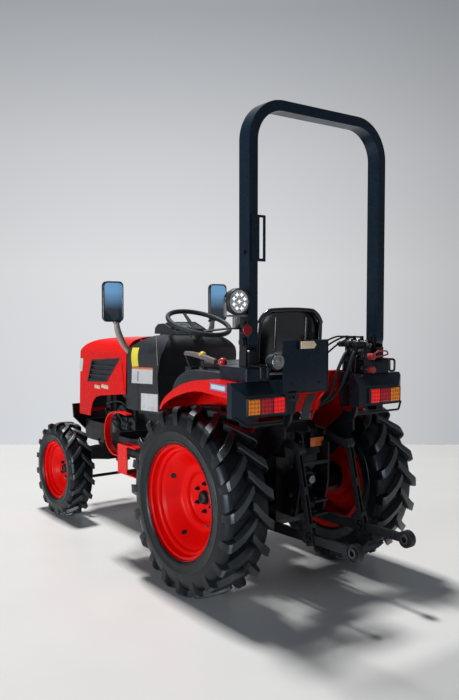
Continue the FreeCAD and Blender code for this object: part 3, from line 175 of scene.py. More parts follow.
def rubberFinish(name, colour, dusty, grain, bumpSize, rough=(0.5, 0.75), level=0.5):
    mat, tree, shader = newMaterial(name)
    base = rampOf(tree, noiseOf(tree, 9, 6, 0.6), [(0.38, colour), (0.78, dusty)])
    skin = {"Specular IOR Level": level, "Specular Tint": (0.80, 0.90, 1.0, 1)}
    dressShader(tree, shader, base, rough, 30, **skin)
    bumpFrom(tree, shader, noiseOf(tree, grain, 3), 0.35, bumpSize)
    return mat


def plasticFinish(name, colour, worn, grain=650, bumpSize=0.0005, rough=(0.4, 0.6), coat=0.0):
    mat, tree, shader = newMaterial(name)
    base = rampOf(tree, noiseOf(tree, 6, 5), [(0.3, colour), (0.75, worn)])
    dressShader(tree, shader, base, rough, 18, **{"Coat Weight": coat, "Coat Roughness": 0.08})
    cell = addNode(tree, "ShaderNodeTexVoronoi", Scale=grain, Vector=objectPlace(tree))
    bumpFrom(tree, shader, cell.outputs["Distance"], 0.3, bumpSize)
    return mat


def metalFinish(name, colour, dark, rough, grain, metal=1.0):
    mat, tree, shader = newMaterial(name)
    base = rampOf(tree, noiseOf(tree, grain, 5, 0.6), [(0.3, dark), (0.65, colour)])
    dressShader(tree, shader, base, rough, grain * 2, Metallic=metal)
    bumpFrom(tree, shader, noiseOf(tree, grain * 6, 3), 0.3, 0.0004)
    return mat


def lensFinish(name, colour, deep, pitch, glow=0.0):
    # moulded lens: fine ribs both ways under a clear glossy skin
    mat, tree, shader = newMaterial(name)
    waves = []
    for axis in ("Y", "Z"):
        wave = addNode(tree, "ShaderNodeTexWave", Scale=pitch, bands_direction=axis, Vector=objectPlace(tree))
        waves.append(wave.outputs["Fac"])
    joined = mathOf(tree, "ADD", *waves)
    # painted shade: the ribs band the colour with its deep, darker copy
    base = rampOf(tree, mathOf(tree, "MULTIPLY", joined, 0.5), [(0.3, deep), (0.8, colour)])
    bumpFrom(tree, shader, joined, 0.6, 0.002)
    skin = {"Specular IOR Level": 0.2, "Coat Weight": 0.25, "Coat Roughness": 0.05}
    dressShader(tree, shader, base, 0.3, **skin)
    # painted glow: the unlit lens gives off light in its own banded colour
    if glow:
        addPaintedGlow(tree, shader, base, glow)
    return mat


# painted glow: the surface gives off its own colour as light, with no lamp in it
def addPaintedGlow(tree, shader, colour, strength):
    tree.links.new(colour, shader.inputs["Emission Color"])
    shader.inputs["Emission Strength"].default_value = strength


def paintedReflectionFinish(name, low, high, dark, top, bottom):
    # painted reflection: polished glass that holds a painted open sky above and ground below, by height on the
    # mirror
    mat, tree, shader = newMaterial(name)
    parts = addNode(tree, "ShaderNodeSeparateXYZ", Vector=objectPlace(tree))
    limits = {"From Min": bottom, "From Max": top}
    span = addNode(tree, "ShaderNodeMapRange", Value=parts.outputs["Z"], **limits)
    ripple = greyRamp(tree, noiseOf(tree, 30, 3), -0.03, 0.03)
    wobble = mathOf(tree, "ADD", span.outputs["Result"], ripple)
    tint = rampOf(tree, wobble, [(0.28, dark), (0.46, low), (0.95, high)])
    # painted glow: the mirror gives off its painted sky and ground as light
    addPaintedGlow(tree, shader, tint, 0.3)
    skin = {"Metallic": 0.35, "Coat Weight": 1.0, "Coat Roughness": 0.02}
    dressShader(tree, shader, tint, greyRamp(tree, noiseOf(tree, 12, 3), 0.08, 0.16), **skin)
    return mat


finishSet = {
    # colour, dark, rubbed, roughness from and to, coat, peel of the skin, shine
    paintFinish: dict(
        redPaint=((0.78, 0.006, 0.005), (0.75, 0.005, 0.004), (0.78, 0.012, 0.010), (0.24, 0.29), 0.1, 0.03,
                  0.14),
        rimRed=((0.74, 0.003, 0.002), (0.66, 0.002, 0.002), (0.74, 0.008, 0.006), (0.28, 0.40), 0.03, 0.06,
                0.08),
        navyPowder=((0.003, 0.013, 0.028), (0.002, 0.010, 0.021), (0.006, 0.022, 0.045), (0.24, 0.34), 0.06,
                    0.2, 0.2),
        capBlack=((0.006, 0.014, 0.025), (0.005, 0.010, 0.018), (0.014, 0.022, 0.034), (0.26, 0.38), 0.06,
                  0.2, 0.2),
        chassisBlack=((0.005, 0.006, 0.009), (0.003, 0.004, 0.006), (0.012, 0.013, 0.016), (0.3, 0.5), 0.1,
                      0.2, 0.28),
    ),
    # colour, dark, roughness from and to, grain, share of metal
    metalFinish: dict(
        castMetal=((0.016, 0.017, 0.021), (0.006, 0.007, 0.009), (0.38, 0.6), 40, 0.4),
        engineCast=((0.06, 0.06, 0.065), (0.018, 0.018, 0.02), (0.45, 0.7), 30, 0.6),
        brightSteel=((0.62, 0.62, 0.64), (0.42, 0.42, 0.44), (0.18, 0.35), 80),
        wornSteel=((0.30, 0.30, 0.31), (0.12, 0.12, 0.125), (0.3, 0.5), 90),
    ),
    # colour, dusty, grain, bump size, roughness from and to, shine
    rubberFinish: dict(
        barRubber=((0.004, 0.0045, 0.0055), (0.012, 0.012, 0.012), 90, 0.0006, (0.38, 0.50), 1.0),
        tyreRubber=((0.0025, 0.0035, 0.005), (0.006, 0.007, 0.009), 90, 0.0006, (0.26, 0.42), 0.27),
        hoseRubber=((0.008, 0.008, 0.009), (0.02, 0.02, 0.022), 300, 0.0004),
    ),
    # colour, worn, grain, bump size, roughness from and to, coat
    plasticFinish: dict(
        darkPlastic=((0.006, 0.009, 0.013), (0.013, 0.016, 0.021)),
        glossPlastic=((0.006, 0.006, 0.008), (0.011, 0.011, 0.014), 900, 0.0002, (0.14, 0.24), 0.3),
        seatVinyl=((0.008, 0.008, 0.010), (0.015, 0.015, 0.018), 420, 0.0006, (0.3, 0.45)),
        # the screen glass's blue-grey colour is a painted reflection of the sky
        screenPaintedReflection=((0.10, 0.15, 0.21), (0.16, 0.22, 0.29), 1200, 0.0001, (0.06, 0.12), 1.0),
        dialPrint=((0.30, 0.33, 0.36), (0.40, 0.43, 0.46), 900, 0.0001, (0.2, 0.3), 0.5),
        labelWhite=((0.55, 0.56, 0.57), (0.68, 0.68, 0.68), 1500, 0.0001, (0.25, 0.4), 0.3),
        labelYellow=((0.72, 0.62, 0.03), (0.80, 0.70, 0.06), 1500, 0.0001, (0.25, 0.4), 0.3),
        labelOrange=((0.72, 0.13, 0.02), (0.80, 0.20, 0.03), 1500, 0.0001, (0.25, 0.4), 0.3),
        labelCream=((0.62, 0.50, 0.36), (0.70, 0.58, 0.42), 1500, 0.0001, (0.25, 0.4), 0.3),
        labelBlue=((0.06, 0.18, 0.42), (0.09, 0.24, 0.52), 1500, 0.0001, (0.25, 0.4), 0.3),
        stoneGrey=((0.24, 0.225, 0.205), (0.33, 0.31, 0.285), 700, 0.0003, (0.35, 0.5)),
        leverGrey=((0.10, 0.095, 0.088), (0.15, 0.142, 0.13), 700, 0.0003, (0.35, 0.5)),
        knobYellow=((0.78, 0.50, 0.03), (0.86, 0.60, 0.05), 700, 0.0002, (0.2, 0.3), 0.5),
        knobRed=((0.36, 0.015, 0.015), (0.44, 0.03, 0.025), 700, 0.0002, (0.25, 0.4), 0.4),
    ),
    # colour, deep rib shade, ribs, painted glow
    lensFinish: dict(
        lampRed=((0.90, 0.010, 0.012), (0.50, 0.004, 0.006), 18, 0.5),
        lampDeep=((0.48, 0.008, 0.022), (0.20, 0.003, 0.008), 18, 0.3),
        reflectorRed=((0.26, 0.005, 0.014), (0.20, 0.004, 0.010), 140, 0.12),
        lampAmber=((0.92, 0.28, 0.02), (0.58, 0.12, 0.008), 18, 0.2),
        lampWhite=((0.80, 0.82, 0.84), (0.62, 0.64, 0.67), 70),
        lampCream=((0.80, 0.68, 0.48), (0.62, 0.50, 0.33), 90, 0.15),
        # painted glint: the bright stars in the work lamp's bowls, made to glow
        ledPaintedGlint=((1.0, 0.99, 0.95), (0.9, 0.9, 0.88), 200, 1.6),
    ),
    # painted reflection: ground, sky, dark, then the heights in metres of the mirror's top and bottom
    paintedReflectionFinish: dict(
        mirrorPaintedSky=((0.035, 0.045, 0.06), (0.22, 0.55, 0.95), (0.02, 0.035, 0.05), 1.36, 1.17),
    ),
}
finishes = {name: maker(name, *look) for maker, looks in finishSet.items() for name, look in looks.items()}
slotFinish = dict(
    tyre="tyreRubber",
    red_paint="redPaint",
    black_paint="navyPowder",
    dark_metal="castMetal",
    engine_metal="engineCast",
    bright_steel="brightSteel",
    dark_plastic="darkPlastic",
    gloss_plastic="glossPlastic",
    lamp_red="lampRed",
    lamp_white="lampWhite",
    mirror="mirrorPaintedSky",
    rubber="hoseRubber",
)
nodeFinish = dict(
    transmission="chassisBlack",
    front_frame="chassisBlack",
    rops_base="chassisBlack",
    number_plate="chassisBlack",
    coupler_caps="knobRed",
    fender_caps="capBlack",
    pto_shaft="wornSteel",
    **{name: "rimRed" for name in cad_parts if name.startswith("rim_")},
)


def dressNodes():
    for name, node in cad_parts.items():
        oldName = node.data.materials[0].name.split(".")[0] if node.data.materials else ""
        finish = nodeFinish.get(name) or slotFinish.get(oldName, "darkPlastic")
        node.data.materials.clear()
        node.data.materials.append(finishes[finish])
    print("dressed the carried-over nodes")


dressNodes()


# mesh makers; each adds to one open bmesh
def turnsOf(count, first=0.0):
    return [2 * math.pi * (k + first) / count for k in range(count)]


def ringPairs(row):
    return zip(range(len(row)), [*range(1, len(row)), 0])


def addLoft(bm, rings):
    rows = [[bm.verts.new(p) for p in ring] for ring in rings]
    for low, high in zip(rows, rows[1:]):
        for i, j in ringPairs(low):
            bm.faces.new((low[i], low[j], high[j], high[i]))
    bm.faces.new(list(reversed(rows[0])))
    bm.faces.new(rows[-1])
    return rows


def addGrid(bm, points):
    rows = [[bm.verts.new(p) for p in row] for row in points]
    for low, high in zip(rows, rows[1:]):
        for i in range(len(low) - 1):
            bm.faces.new((low[i], low[i + 1], high[i + 1], high[i]))
    return rows


def gridRim(across, up):
    # row and column of each point round the edge of a grid
    rim = [(0, i) for i in range(across + 1)] + [(j, across) for j in range(1, up + 1)]
    return rim + [(up, i) for i in range(across - 1, -1, -1)] + [(j, 0) for j in range(up - 1, 0, -1)]


def axisFrame(axis):
    axis = Vector(axis).normalized()
    side = Vector((0, 0, 1)) if abs(axis.z) < 0.9 else Vector((1, 0, 0))
    first = axis.cross(side).normalized()
    return axis, first, axis.cross(first)


def addTurned(bm, profile, centre, axis, steps=48):
    # profile holds (radius, distance along the axis) in millimetres, from one end to the other
    along, first, second = axisFrame(axis)
    rows = []
    for radius, reach in profile:
        middle = centre + along * reach / 1000
        if radius < 0.01:
            rows.append([bm.verts.new(middle)])
            continue
        outs = [first * math.cos(turn) + second * math.sin(turn) for turn in turnsOf(steps)]
        rows.append([bm.verts.new(middle + out * radius / 1000) for out in outs])
    for low, high in zip(rows, rows[1:]):
        if len(low) == len(high) == 1:
            continue
        for k in range(steps):
            j = (k + 1) % steps
            if len(low) == 1:
                bm.faces.new((low[0], high[j], high[k]))
            elif len(high) == 1:
                bm.faces.new((low[k], low[j], high[0]))
            else:
                bm.faces.new((low[k], low[j], high[j], high[k]))


def softenEdges(bm, edges, bevel, segments=2):
    bmesh.ops.bevel(bm, geom=list(edges), offset=bevel / 1000, segments=segments, profile=0.6, affect="EDGES")


def addSlab(bm, low, high, bevel=2.0, segments=2):
    verts = [bm.verts.new(spot(*corner)) for corner in product(*zip(low, high))]
    faces = [(0, 1, 3, 2), (4, 6, 7, 5), (0, 4, 5, 1), (2, 3, 7, 6), (0, 2, 6, 4), (1, 5, 7, 3)]
    made = [bm.faces.new([verts[i] for i in f]) for f in faces]
    if bevel:
        softenEdges(bm, {edge for face in made for edge in face.edges}, bevel, segments)


def addPlate(bm, outline, thickness, bevel):
    # outline: points in space on one face, thickness: vector to the other face
    rows = addLoft(bm, [outline, [p + Vector(thickness) for p in outline]])
    softenEdges(bm, {e for row in rows for v in row for e in v.link_edges if e.other_vert(v) in row}, bevel)


def addHex(bm, centre, axis, size, height, washer=True, stud=True):
    along, first, second = axisFrame(axis)
    size, height = size / 1000, height / 1000

    def ring(radius, level, count=6):
        outs = [first * math.cos(t) + second * math.sin(t) for t in turnsOf(count)]
        return [centre + along * level + out * radius for out in outs]

    if washer:
        addLoft(bm, [ring(size * 1.32, 0, 20), ring(size * 1.32, height * 0.16, 20)])
    low = height * 0.16 if washer else 0
    addLoft(bm, [ring(size, low), ring(size, height * 0.84), ring(size * 0.86, height)])
    if stud:
        tip = ((0.5, 0.9), (0.5, 1.3), (0.4, 1.38))
        addLoft(bm, [ring(size * wide, height * up, 12) for wide, up in tip])


def addBolts(bm, places, axis, size, height, **kind):
    for place in places:
        addHex(bm, spot(*place), axis, size, height, **kind)


def smoothPath(points, steps):
    # an even curve that passes through every point
    out = []
    for i, (p1, p2) in enumerate(zip(points, points[1:])):
        p0 = points[i - 1] if i else p1 * 2 - p2
        p3 = points[i + 2] if i + 2 < len(points) else p2 * 2 - p1
        for k in range(steps):
            t = k / steps
            out.append(
                0.5 * (2 * p1 + (p2 - p0) * t + (2 * p0 - 5 * p1 + 4 * p2 - p3) * t * t
                       + (3 * p1 - p0 - 3 * p2 + p3) * t ** 3)
            )
    return out + [points[-1]]


def addTube(bm, path, radius, sides):
    # radius may change along the way when it is a function of the share travelled
    rings, side = [], None
    for i, place in enumerate(path):
        along = (path[min(i + 1, len(path) - 1)] - path[max(i - 1, 0)]).normalized()
        side = side or axisFrame(along)[1]
        side = (side - along * side.dot(along)).normalized()
        across = along.cross(side)
        own = (radius(i / (len(path) - 1)) if callable(radius) else radius) / 1000
        rings.append([place + (side * math.cos(t) + across * math.sin(t)) * own for t in turnsOf(sides)])
    addLoft(bm, rings)


def addBentTube(bm, route, steps, radius, sides):
    addTube(bm, smoothPath([spot(*p) for p in route], steps), radius, sides)


def newPiece(name, bm, finish, stands=(), smooth=30, refine=0, body="chassis"):
    bmesh.ops.recalc_face_normals(bm, faces=bm.faces[:])
    mesh = bpy.data.meshes.new(name)
    bm.to_mesh(mesh)
    bm.free()
    piece = bpy.data.objects.new(name, mesh)
    bpy.context.scene.collection.objects.link(piece)
    for face in mesh.polygons:
        face.use_smooth = True
    if refine:
        layer = piece.modifiers.new("refine", "SUBSURF")
        layer.levels = layer.render_levels = refine
    else:
        sharpen(mesh, smooth)
    mesh.materials.append(finishes[finish])
    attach(piece, body)
    if stands:
        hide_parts(*stands)
    return piece


def sharpen(mesh, angle):
    # edges sharper than the angle stay crisp
    bm = bmesh.new()
    bm.from_mesh(mesh)
    for edge in bm.edges:
        if len(edge.link_faces) == 2 and edge.calc_face_angle(0) > math.radians(angle):
            edge.smooth = False
    bm.to_mesh(mesh)
    bm.free()


def bothSides(build):
    # run a maker for the left side and again, mirrored, for the right
    bm = bmesh.new()
    build(bm)
    twin = bm.copy()
    bmesh.ops.transform(twin, matrix=Matrix.Scale(-1, 4, (0, 1, 0)), verts=twin.verts[:])
    shade = bpy.data.meshes.new("twin")
    twin.to_mesh(shade)
    twin.free()
    bm.from_mesh(shade)
    bpy.data.meshes.remove(shade)
    return bm


# tyres: a turned carcass with two staggered rows of curved bars, their ends running down the sidewall
tyreSet = dict(
    rear=dict(x=0, y=437, radius=415, half=115, flange=254, rimHalf=103, height=30, count=20, top=16,
              steps=160),
    front=dict(x=1551, y=368, radius=283, half=73, flange=174, rimHalf=62, height=20, count=17, top=12,
               steps=136),
)
# share of the bars' height, from their tops down, that takes the bars' own finish
brightShare = 0.8


def tyreProfile(spec):
    # half outline from the bead to the crown: (radius, share of the half width)
    low, top = spec["flange"], spec["radius"] - spec["height"]
    wall = top - low
    bead = ((-16, -22), (-14, -8), (1, -6), (2, 2), (7, 6))
    flank = ((0.22, 0.972), (0.36, 0.986), (0.38, 0.996), (0.42, 0.996), (0.44, 0.984), (0.60, 0.975),
             (0.72, 0.955), (0.83, 0.915), (0.92, 0.85), (0.975, 0.76))
    outline = [(low + up, (spec["rimHalf"] + out) / spec["half"]) for up, out in bead]
    outline += [(low + 9, 0.955), (low + 13, 0.968), (low + 15, 0.952)]
    outline += [(low + up * wall, out) for up, out in flank]
    return outline + [(top - 0.5, 0.62), (top + 1, 0.35), (top + 2, 0.0)]


def tyreSpot(spec, place, radius, turn, level):
    across, up = radius * math.sin(turn), radius * math.cos(turn)
    return spot(spec["x"] + across, place * level, spec["radius"] + up)


def addBar(bm, spec, angle, side, place):
    radius, half, height = spec["radius"], spec["half"], spec["height"]
    lean, rise = 0.23, height / 30
    # share of the half width and drop of the crest, the same for the foot, how far the turn has gone
    stations = [
        (-0.07, 3 * rise, -0.05, 3, -0.06),
        (0.02, 0, 0.02, 3, 0.0),
        (0.20, 0, 0.20, 3, 0.27),
        (0.40, 0.5, 0.40, 3, 0.52),
        (0.60, 1.5 * rise, 0.60, 4, 0.74),
        (0.78, 3.5 * rise, 0.74, 8 * rise, 0.90),
        (0.90, 8 * rise, 0.82, 18 * rise, 1.0),
        (0.965, 19 * rise, 0.88, 30 * rise, 1.06),
        (0.985, 36 * rise, 0.91, 42 * rise, 1.10),
        (0.985, 62 * rise, 0.93, 58 * rise, 1.13),
        (0.972, 84 * rise, 0.945, 66 * rise, 1.14),
    ]
    rings = []
    for i, (share, drop, footShare, footDrop, turned) in enumerate(stations):
        crest, foot = radius - drop, radius - height - footDrop
        late = max(0.0, i - 6) / 4
        narrow = spec["top"] * min(1.0 + 0.05 * i, 1.28) * (1.0 - 0.1 * late) * (0.85 if i == 0 else 1.0)
        wide = spec["top"] * (1.5 + 0.02 * i - 0.3 * late)
        flank = [
            (footShare, foot, wide),
            (share - 0.02, crest - 0.14 * height, narrow + 1.2),
            (share, crest - 0.02 * height, narrow - 0.6),
            (share, crest, narrow - 2.0),
        ]
        both = [(1, point) for point in flank] + [(-1, point) for point in reversed(flank)]
        middle = angle - lean * turned
        rings.append([
            tyreSpot(spec, place, high, middle + sign * out / radius, spec["y"] + side * own * half)
            for sign, (own, high, out) in both
        ])
    addLoft(bm, rings)


def addSipes(bm, spec, place):
    # low ribs across the tread floor between the bars, left by the mould
    low = spec["radius"] - spec["height"]
    for k in range(spec["count"] * 2):
        angle = math.pi - spec["top"] / spec["radius"] + (k + 0.52) * math.pi / spec["count"]
        rings = []
        for share in (-0.5, -0.25, 0.0, 0.25, 0.5):
            bend, level = 0.12 * abs(share), spec["y"] + share * spec["half"]
            rings.append([
                tyreSpot(spec, place, high, angle - bend + out / spec["radius"], level)
                for out, high in ((-3, low - 2), (-2, low + 3.2), (2, low + 3.2), (3, low - 2))
            ])
        addLoft(bm, rings)


def makeTyre(kind, sideName, place):
    spec = tyreSet[kind]
    bm = bmesh.new()
    outline = tyreProfile(spec)
    inside = [(r - 9, share * 0.86) for r, share in outline[8:]]
    whole = outline + [(r, -share) for r, share in reversed(outline[:-1])]
    whole += [(r, -share) for r, share in inside] + list(reversed(inside[:-1]))
    rows = [
        [bm.verts.new(tyreSpot(spec, place, r, turn, spec["y"] + share * spec["half"])) for r, share in whole]
        for turn in turnsOf(spec["steps"])
    ]
    for row, following in zip(rows, rows[1:] + rows[:1]):
        for i, j in ringPairs(row):
            bm.faces.new((row[i], row[j], following[j], following[i]))
    first = math.pi - spec["top"] / spec["radius"]
    for k in range(spec["count"]):
        for side, offset in ((1, 0.0), (-1, 0.5)):
            addBar(bm, spec, first + (k + offset) * 2 * math.pi / spec["count"], side, place)
    addSipes(bm, spec, place)
    own = f"{kind}_{sideName}"
    tread = newPiece(f"tread_{own}", bm, "tyreRubber", [f"tyre_{own}"], smooth=24, body=f"wheel_{own}")
    # bars shine a little more than the walls
    tread.data.materials.append(finishes["barRubber"])
    axle = spot(spec["x"], 0, spec["radius"])
    start = (spec["radius"] - brightShare * spec["height"]) / 1000
    for face in tread.data.polygons:
        middle = face.center - axle
        if math.hypot(middle.x, middle.z) > start:
            face.material_index = 1


wheels = [(kind, *side) for kind, side in product(("rear", "front"), (("left", 1), ("right", -1)))]
for wheel in wheels:
    makeTyre(*wheel)
print("tyres ready")

# rims: rolled lips, stepped seats and a deep dished disc, then black discs painted as shade where the dish has
# holes, wheel bolts, hub and valve
rimSet = dict(
    rear=dict(
        x=0, z=415,
        front=[(251, 543.2), (254, 541), (254.4, 536), (251, 533), (240, 533), (236, 530), (234, 514),
               (230, 507), (222, 505), (218, 501), (215, 490), (209, 485), (203, 482), (196, 474), (158, 431),
               (151, 424), (142, 420), (126, 419.5), (119, 416), (113, 404), (106, 399), (92, 396.5),
               (30, 396)],
        back=[(30, 391), (92, 391.5), (104, 394), (110, 400), (115, 412), (124, 415), (142, 415.5),
              (149, 418.5), (155, 426), (192, 470), (200, 477), (208, 480), (211, 470), (211, 394),
              (214, 385), (228, 370), (229, 345), (232, 340), (251, 339), (254, 336), (253, 331),
              (250, 331.5), (246, 335), (234, 336), (225, 342), (224, 368), (207, 384), (206, 392), (206, 478)],
        plugs=dict(circle=182, level=457.5, count=4, first=25, size=12, lean=1.13),
        hub=dict(face=396, circle=62, count=6, size=8.5, boss=30, valve=(192, 470, 205)),
    ),
    front=dict(
        x=1551, z=283,
        front=[(171, 433.2), (174, 431), (174.3, 427), (171, 424.5), (163, 424.5), (159, 422), (157, 412),
               (154, 405), (148, 403), (145, 399), (142, 390), (136, 386), (126, 381), (118, 378), (104, 363),
               (97, 358), (88, 357), (30, 356.5)],
        back=[(30, 352), (88, 352.5), (98, 354), (104, 358), (118, 373), (126, 376), (134, 380), (136, 372),
              (136, 350), (139, 343), (150, 332), (151, 318), (153, 313), (171, 312), (174, 309), (173, 304),
              (170, 304.5), (156, 308), (147, 314), (146, 330), (132, 342), (131, 350), (131, 378)],
        hub=dict(face=356.5, circle=50, count=5, size=8, boss=26, valve=(122, 379, 200)),
    ),
)


def makeRim(kind, sideName, place):
    spec = rimSet[kind]
    hub, own = spec["hub"], f"{kind}_{sideName}"
    body = f"wheel_{own}"
    axis, centre = Vector((0, place, 0)), spot(spec["x"], 0, spec["z"])

    def around(circle, angle, level):
        return spot(spec["x"] + circle * math.cos(angle), place * level, spec["z"] + circle * math.sin(angle))

    bm = bmesh.new()
    front, back, seat, disc = spec["front"], spec["back"], 11, 12
    addTurned(bm, front + back[:disc], centre, axis, 120)
    addTurned(bm, [(r - 0.4, y) for r, y in [front[seat]] + back[disc:]], centre, axis, 120)
    newPiece(f"rim_shell_{own}", bm, "rimRed", [f"rim_{own}"], smooth=32, body=body)
    if "plugs" in spec:
        addHoleShadeDiscs(f"vent_plugs_{own}", spec["plugs"], centre, place, body)
    bm = bmesh.new()
    for angle in turnsOf(hub["count"], 0.5):
        addHex(bm, around(hub["circle"], angle, hub["face"]), axis, hub["size"], 15)
    b = hub["boss"]
    boss = [(b + 3, -6), (b + 3, 2), (b, 4), (b - 1, 16), (b - 5, 22), (b - 9, 24), (12, 24.5), (10, 20),
            (0, 20)]
    addTurned(bm, boss, centre + Vector((0, place * hub["face"] / 1000, 0)), axis, 48)
    newPiece(f"wheel_nuts_{own}", bm, "castMetal", smooth=32, body=body)
    bm = bmesh.new()
    circle, level, turn = hub["valve"]
    angle = math.radians(turn)
    stem = [(0, -6), (4, -6), (4, 12), (3, 14), (3, 28), (4.2, 28), (4.2, 38), (3.4, 40), (0, 40)]
    lean = (-0.5 * math.cos(angle), place, -0.5 * math.sin(angle))
    addTurned(bm, stem, around(circle, angle, level), lean, 16)
    newPiece(f"valve_stem_{own}", bm, "wornSteel", smooth=32, body=body)


def addHoleShadeDiscs(name, plug, centre, place, body):
    # painted shade: black discs stand for the holes through the dish, dark with the shade behind them, square
    # to its slope
    bm = bmesh.new()
    r = plug["size"]
    button = [(0, -4), (r, -4), (r + 1.5, 1.5), (r, 3.4), (r - 2.5, 3), (r - 3.5, 1.2), (0, 0.8)]
    for k in range(plug["count"]):
        turn = math.radians(plug["first"] + 360 * k / plug["count"])
        out = Vector((math.cos(turn), 0, math.sin(turn)))
        middle = centre + out * plug["circle"] / 1000 + Vector((0, place * plug["level"] / 1000, 0))
        addTurned(bm, button, middle, Vector((0, place, 0)) - out * plug["lean"], 28)
    newPiece(name, bm, "chassisBlack", smooth=35, body=body)


for wheel in wheels:
    makeRim(*wheel)
print("rims ready")


# seat: glossy moulded shell with a rolled rim, and two sewn cushions
seatSet = dict(
    backLean=-0.115,
    shellHalf=186,
    shellLow=958,
    shellTop=1250,
    cornerBend=84,
    rimRadius=11.5,
    padSteps=72,
    backPad=dict(half=158, low=992, high=1222, depth=46),
    panPad=dict(half=196, rear=-22, front=396, foot=962, depth=33),
)


def shellPlace(u, v):
    # u across from -1 to 1, v up from 0 to 1; the back curls forward at its sides
    z = seatSet["shellLow"] + v * (seatSet["shellTop"] - seatSet["shellLow"])
    corner = seatSet["cornerBend"] / (seatSet["shellTop"] - seatSet["shellLow"])
    half = seatSet["shellHalf"]
    if v > 1 - corner:
        part = (v - 1 + corner) / corner
        half -= seatSet["cornerBend"] * (1 - math.sqrt(max(0.0, 1 - part * part)))
    x = -97 - 26 * v - 6 * math.sin(math.pi * v) + 16 * abs(u) ** 3
    return x, u * half, z


def makeSeatShell():
    bm = bmesh.new()
    across, up, thick = 24, 20, 7

    def sheet(u, v, lift):
        x, y, z = shellPlace(u, min(v, 0.995))
        dish = -5 * (1 - u * u) * math.sin(math.pi * v)
        return spot(x + dish + lift, y * 0.985, z)

    us, vs = [-1 + 2 * i / across for i in range(across + 1)], [j / up for j in range(up + 1)]
    for lift in (0, thick):
        addGrid(bm, [[sheet(u, v, lift) for u in us] for v in vs])
    # two pressed stiffening ribs down the back
    for y in (-92, 92):
        places = [shellPlace(y / seatSet["shellHalf"], v) for v in (0.06, 0.3, 0.6, 0.88)]
        addBentTube(bm, [(x - 3, y, z) for x, _, z in places], 6, 7, 12)
    newPiece("seat_shell", bm, "glossPlastic", ["seat"], smooth=50)


def makeSeatRim():
    bm = bmesh.new()
    half, bend = seatSet["shellHalf"], seatSet["cornerBend"]
    points = [(-98, half - 4, 972), (-106, half, 1060), (-113, half, 1140), (-119, half - 4, 1196)]
    for k in range(1, 6):
        turn = math.pi / 2 * k / 6
        points.append((-121 - 3 * k / 6, half - bend + bend * math.cos(turn), 1166 + 80 * math.sin(turn)))
    points += [(-127, 60, 1247), (-127, 0, 1248)]
    whole = points + [(x, -y, z) for x, y, z in reversed(points[:-1])]
    addBentTube(bm, whole, 4, seatSet["rimRadius"], 14)
    newPiece("seat_rim_tube", bm, "glossPlastic", smooth=35)


def roundedCorner(turn, halfA, halfB, power=5.0):
    c, s = math.cos(turn), math.sin(turn)
    # sides draw in a little between the corners, as a stuffed cover does
    a = math.copysign(abs(c) ** (2 / power), c) * halfA
    b = math.copysign(abs(s) ** (2 / power), s) * halfB
    pull = 1 - 0.022 * math.cos(2 * turn) ** 2
    return a * pull, b * pull


padLevels = [
    (0.0, 0.90), (0.04, 0.96), (0.22, 1.0), (0.44, 1.005), (0.50, 0.985), (0.54, 0.985), (0.60, 1.0),
    (0.78, 0.985), (0.90, 0.94), (0.97, 0.86), (1.0, 0.72), (1.0, 0.62), (0.975, 0.60), (0.965, 0.585),
    (0.975, 0.57), (1.02, 0.54), (1.05, 0.42), (1.06, 0.28), (1.06, 0.12),
]


def makeCushion(name, point):
    # point(turn, inset, height) gives a place on the pad, and padLevels its height share and inset
    bm = bmesh.new()
    turns = turnsOf(seatSet["padSteps"])
    addLoft(bm, [[point(turn, inset, height) for turn in turns] for height, inset in padLevels])
    piece = newPiece(name, bm, "seatVinyl", smooth=70, refine=1)


def makeCushions():
    back, pan = seatSet["backPad"], seatSet["panPad"]
    middle, reach = (back["low"] + back["high"]) / 2, (back["high"] - back["low"]) / 2
    centre, run = (pan["rear"] + pan["front"]) / 2, (pan["front"] - pan["rear"]) / 2

    def backPoint(turn, inset, height):
        y, up = roundedCorner(turn, back["half"] * inset, reach * inset)
        z = middle + up
        lean = seatSet["backLean"] * (z - 960)
        return spot(-84 + lean + back["depth"] * height, y, z)

    def panPoint(turn, inset, height):
        along, y = roundedCorner(turn, run * inset, pan["half"] * inset)
        saddle = 9 * (y / pan["half"]) ** 2 - 5 + 7 * (along / run) ** 2
        return spot(centre + along, y, pan["foot"] + pan["depth"] * height + saddle * height)

    makeCushion("seat_back_cushion", backPoint)
    makeCushion("seat_pan_cushion", panPoint)


def makeSeatPan():
    bm = bmesh.new()
    levels = ((0.62, 932), (0.80, 934), (0.95, 944), (1.0, 958), (1.0, 966), (0.97, 968), (0.94, 962),
              (0.6, 956))
    rows = []
    for inset, z in levels:
        ring = [roundedCorner(turn, 222 * inset, 213 * inset, 4.5) for turn in turnsOf(seatSet["padSteps"])]
        rows.append([spot(182 + along, y, z) for along, y in ring])
    addLoft(bm, rows)
    # the two brackets that carry the back
    for y in (-134, 102):
        outline = [spot(x, y, z) for x, z in ((-104, 940), (-20, 940), (-20, 966), (-96, 1060))]
        addPlate(bm, outline, (0, 0.032, 0), 3)
    newPiece("seat_pan_shell", bm, "glossPlastic", smooth=40)


makeSeatShell()
makeSeatRim()
makeCushions()
makeSeatPan()
print("seat ready")

# work lamp: finned body, glass with nine bowls holding painted glints, silver yoke and a side reflector
workLampSet = dict(y=454, z=1280, emitters=8, circle=29)


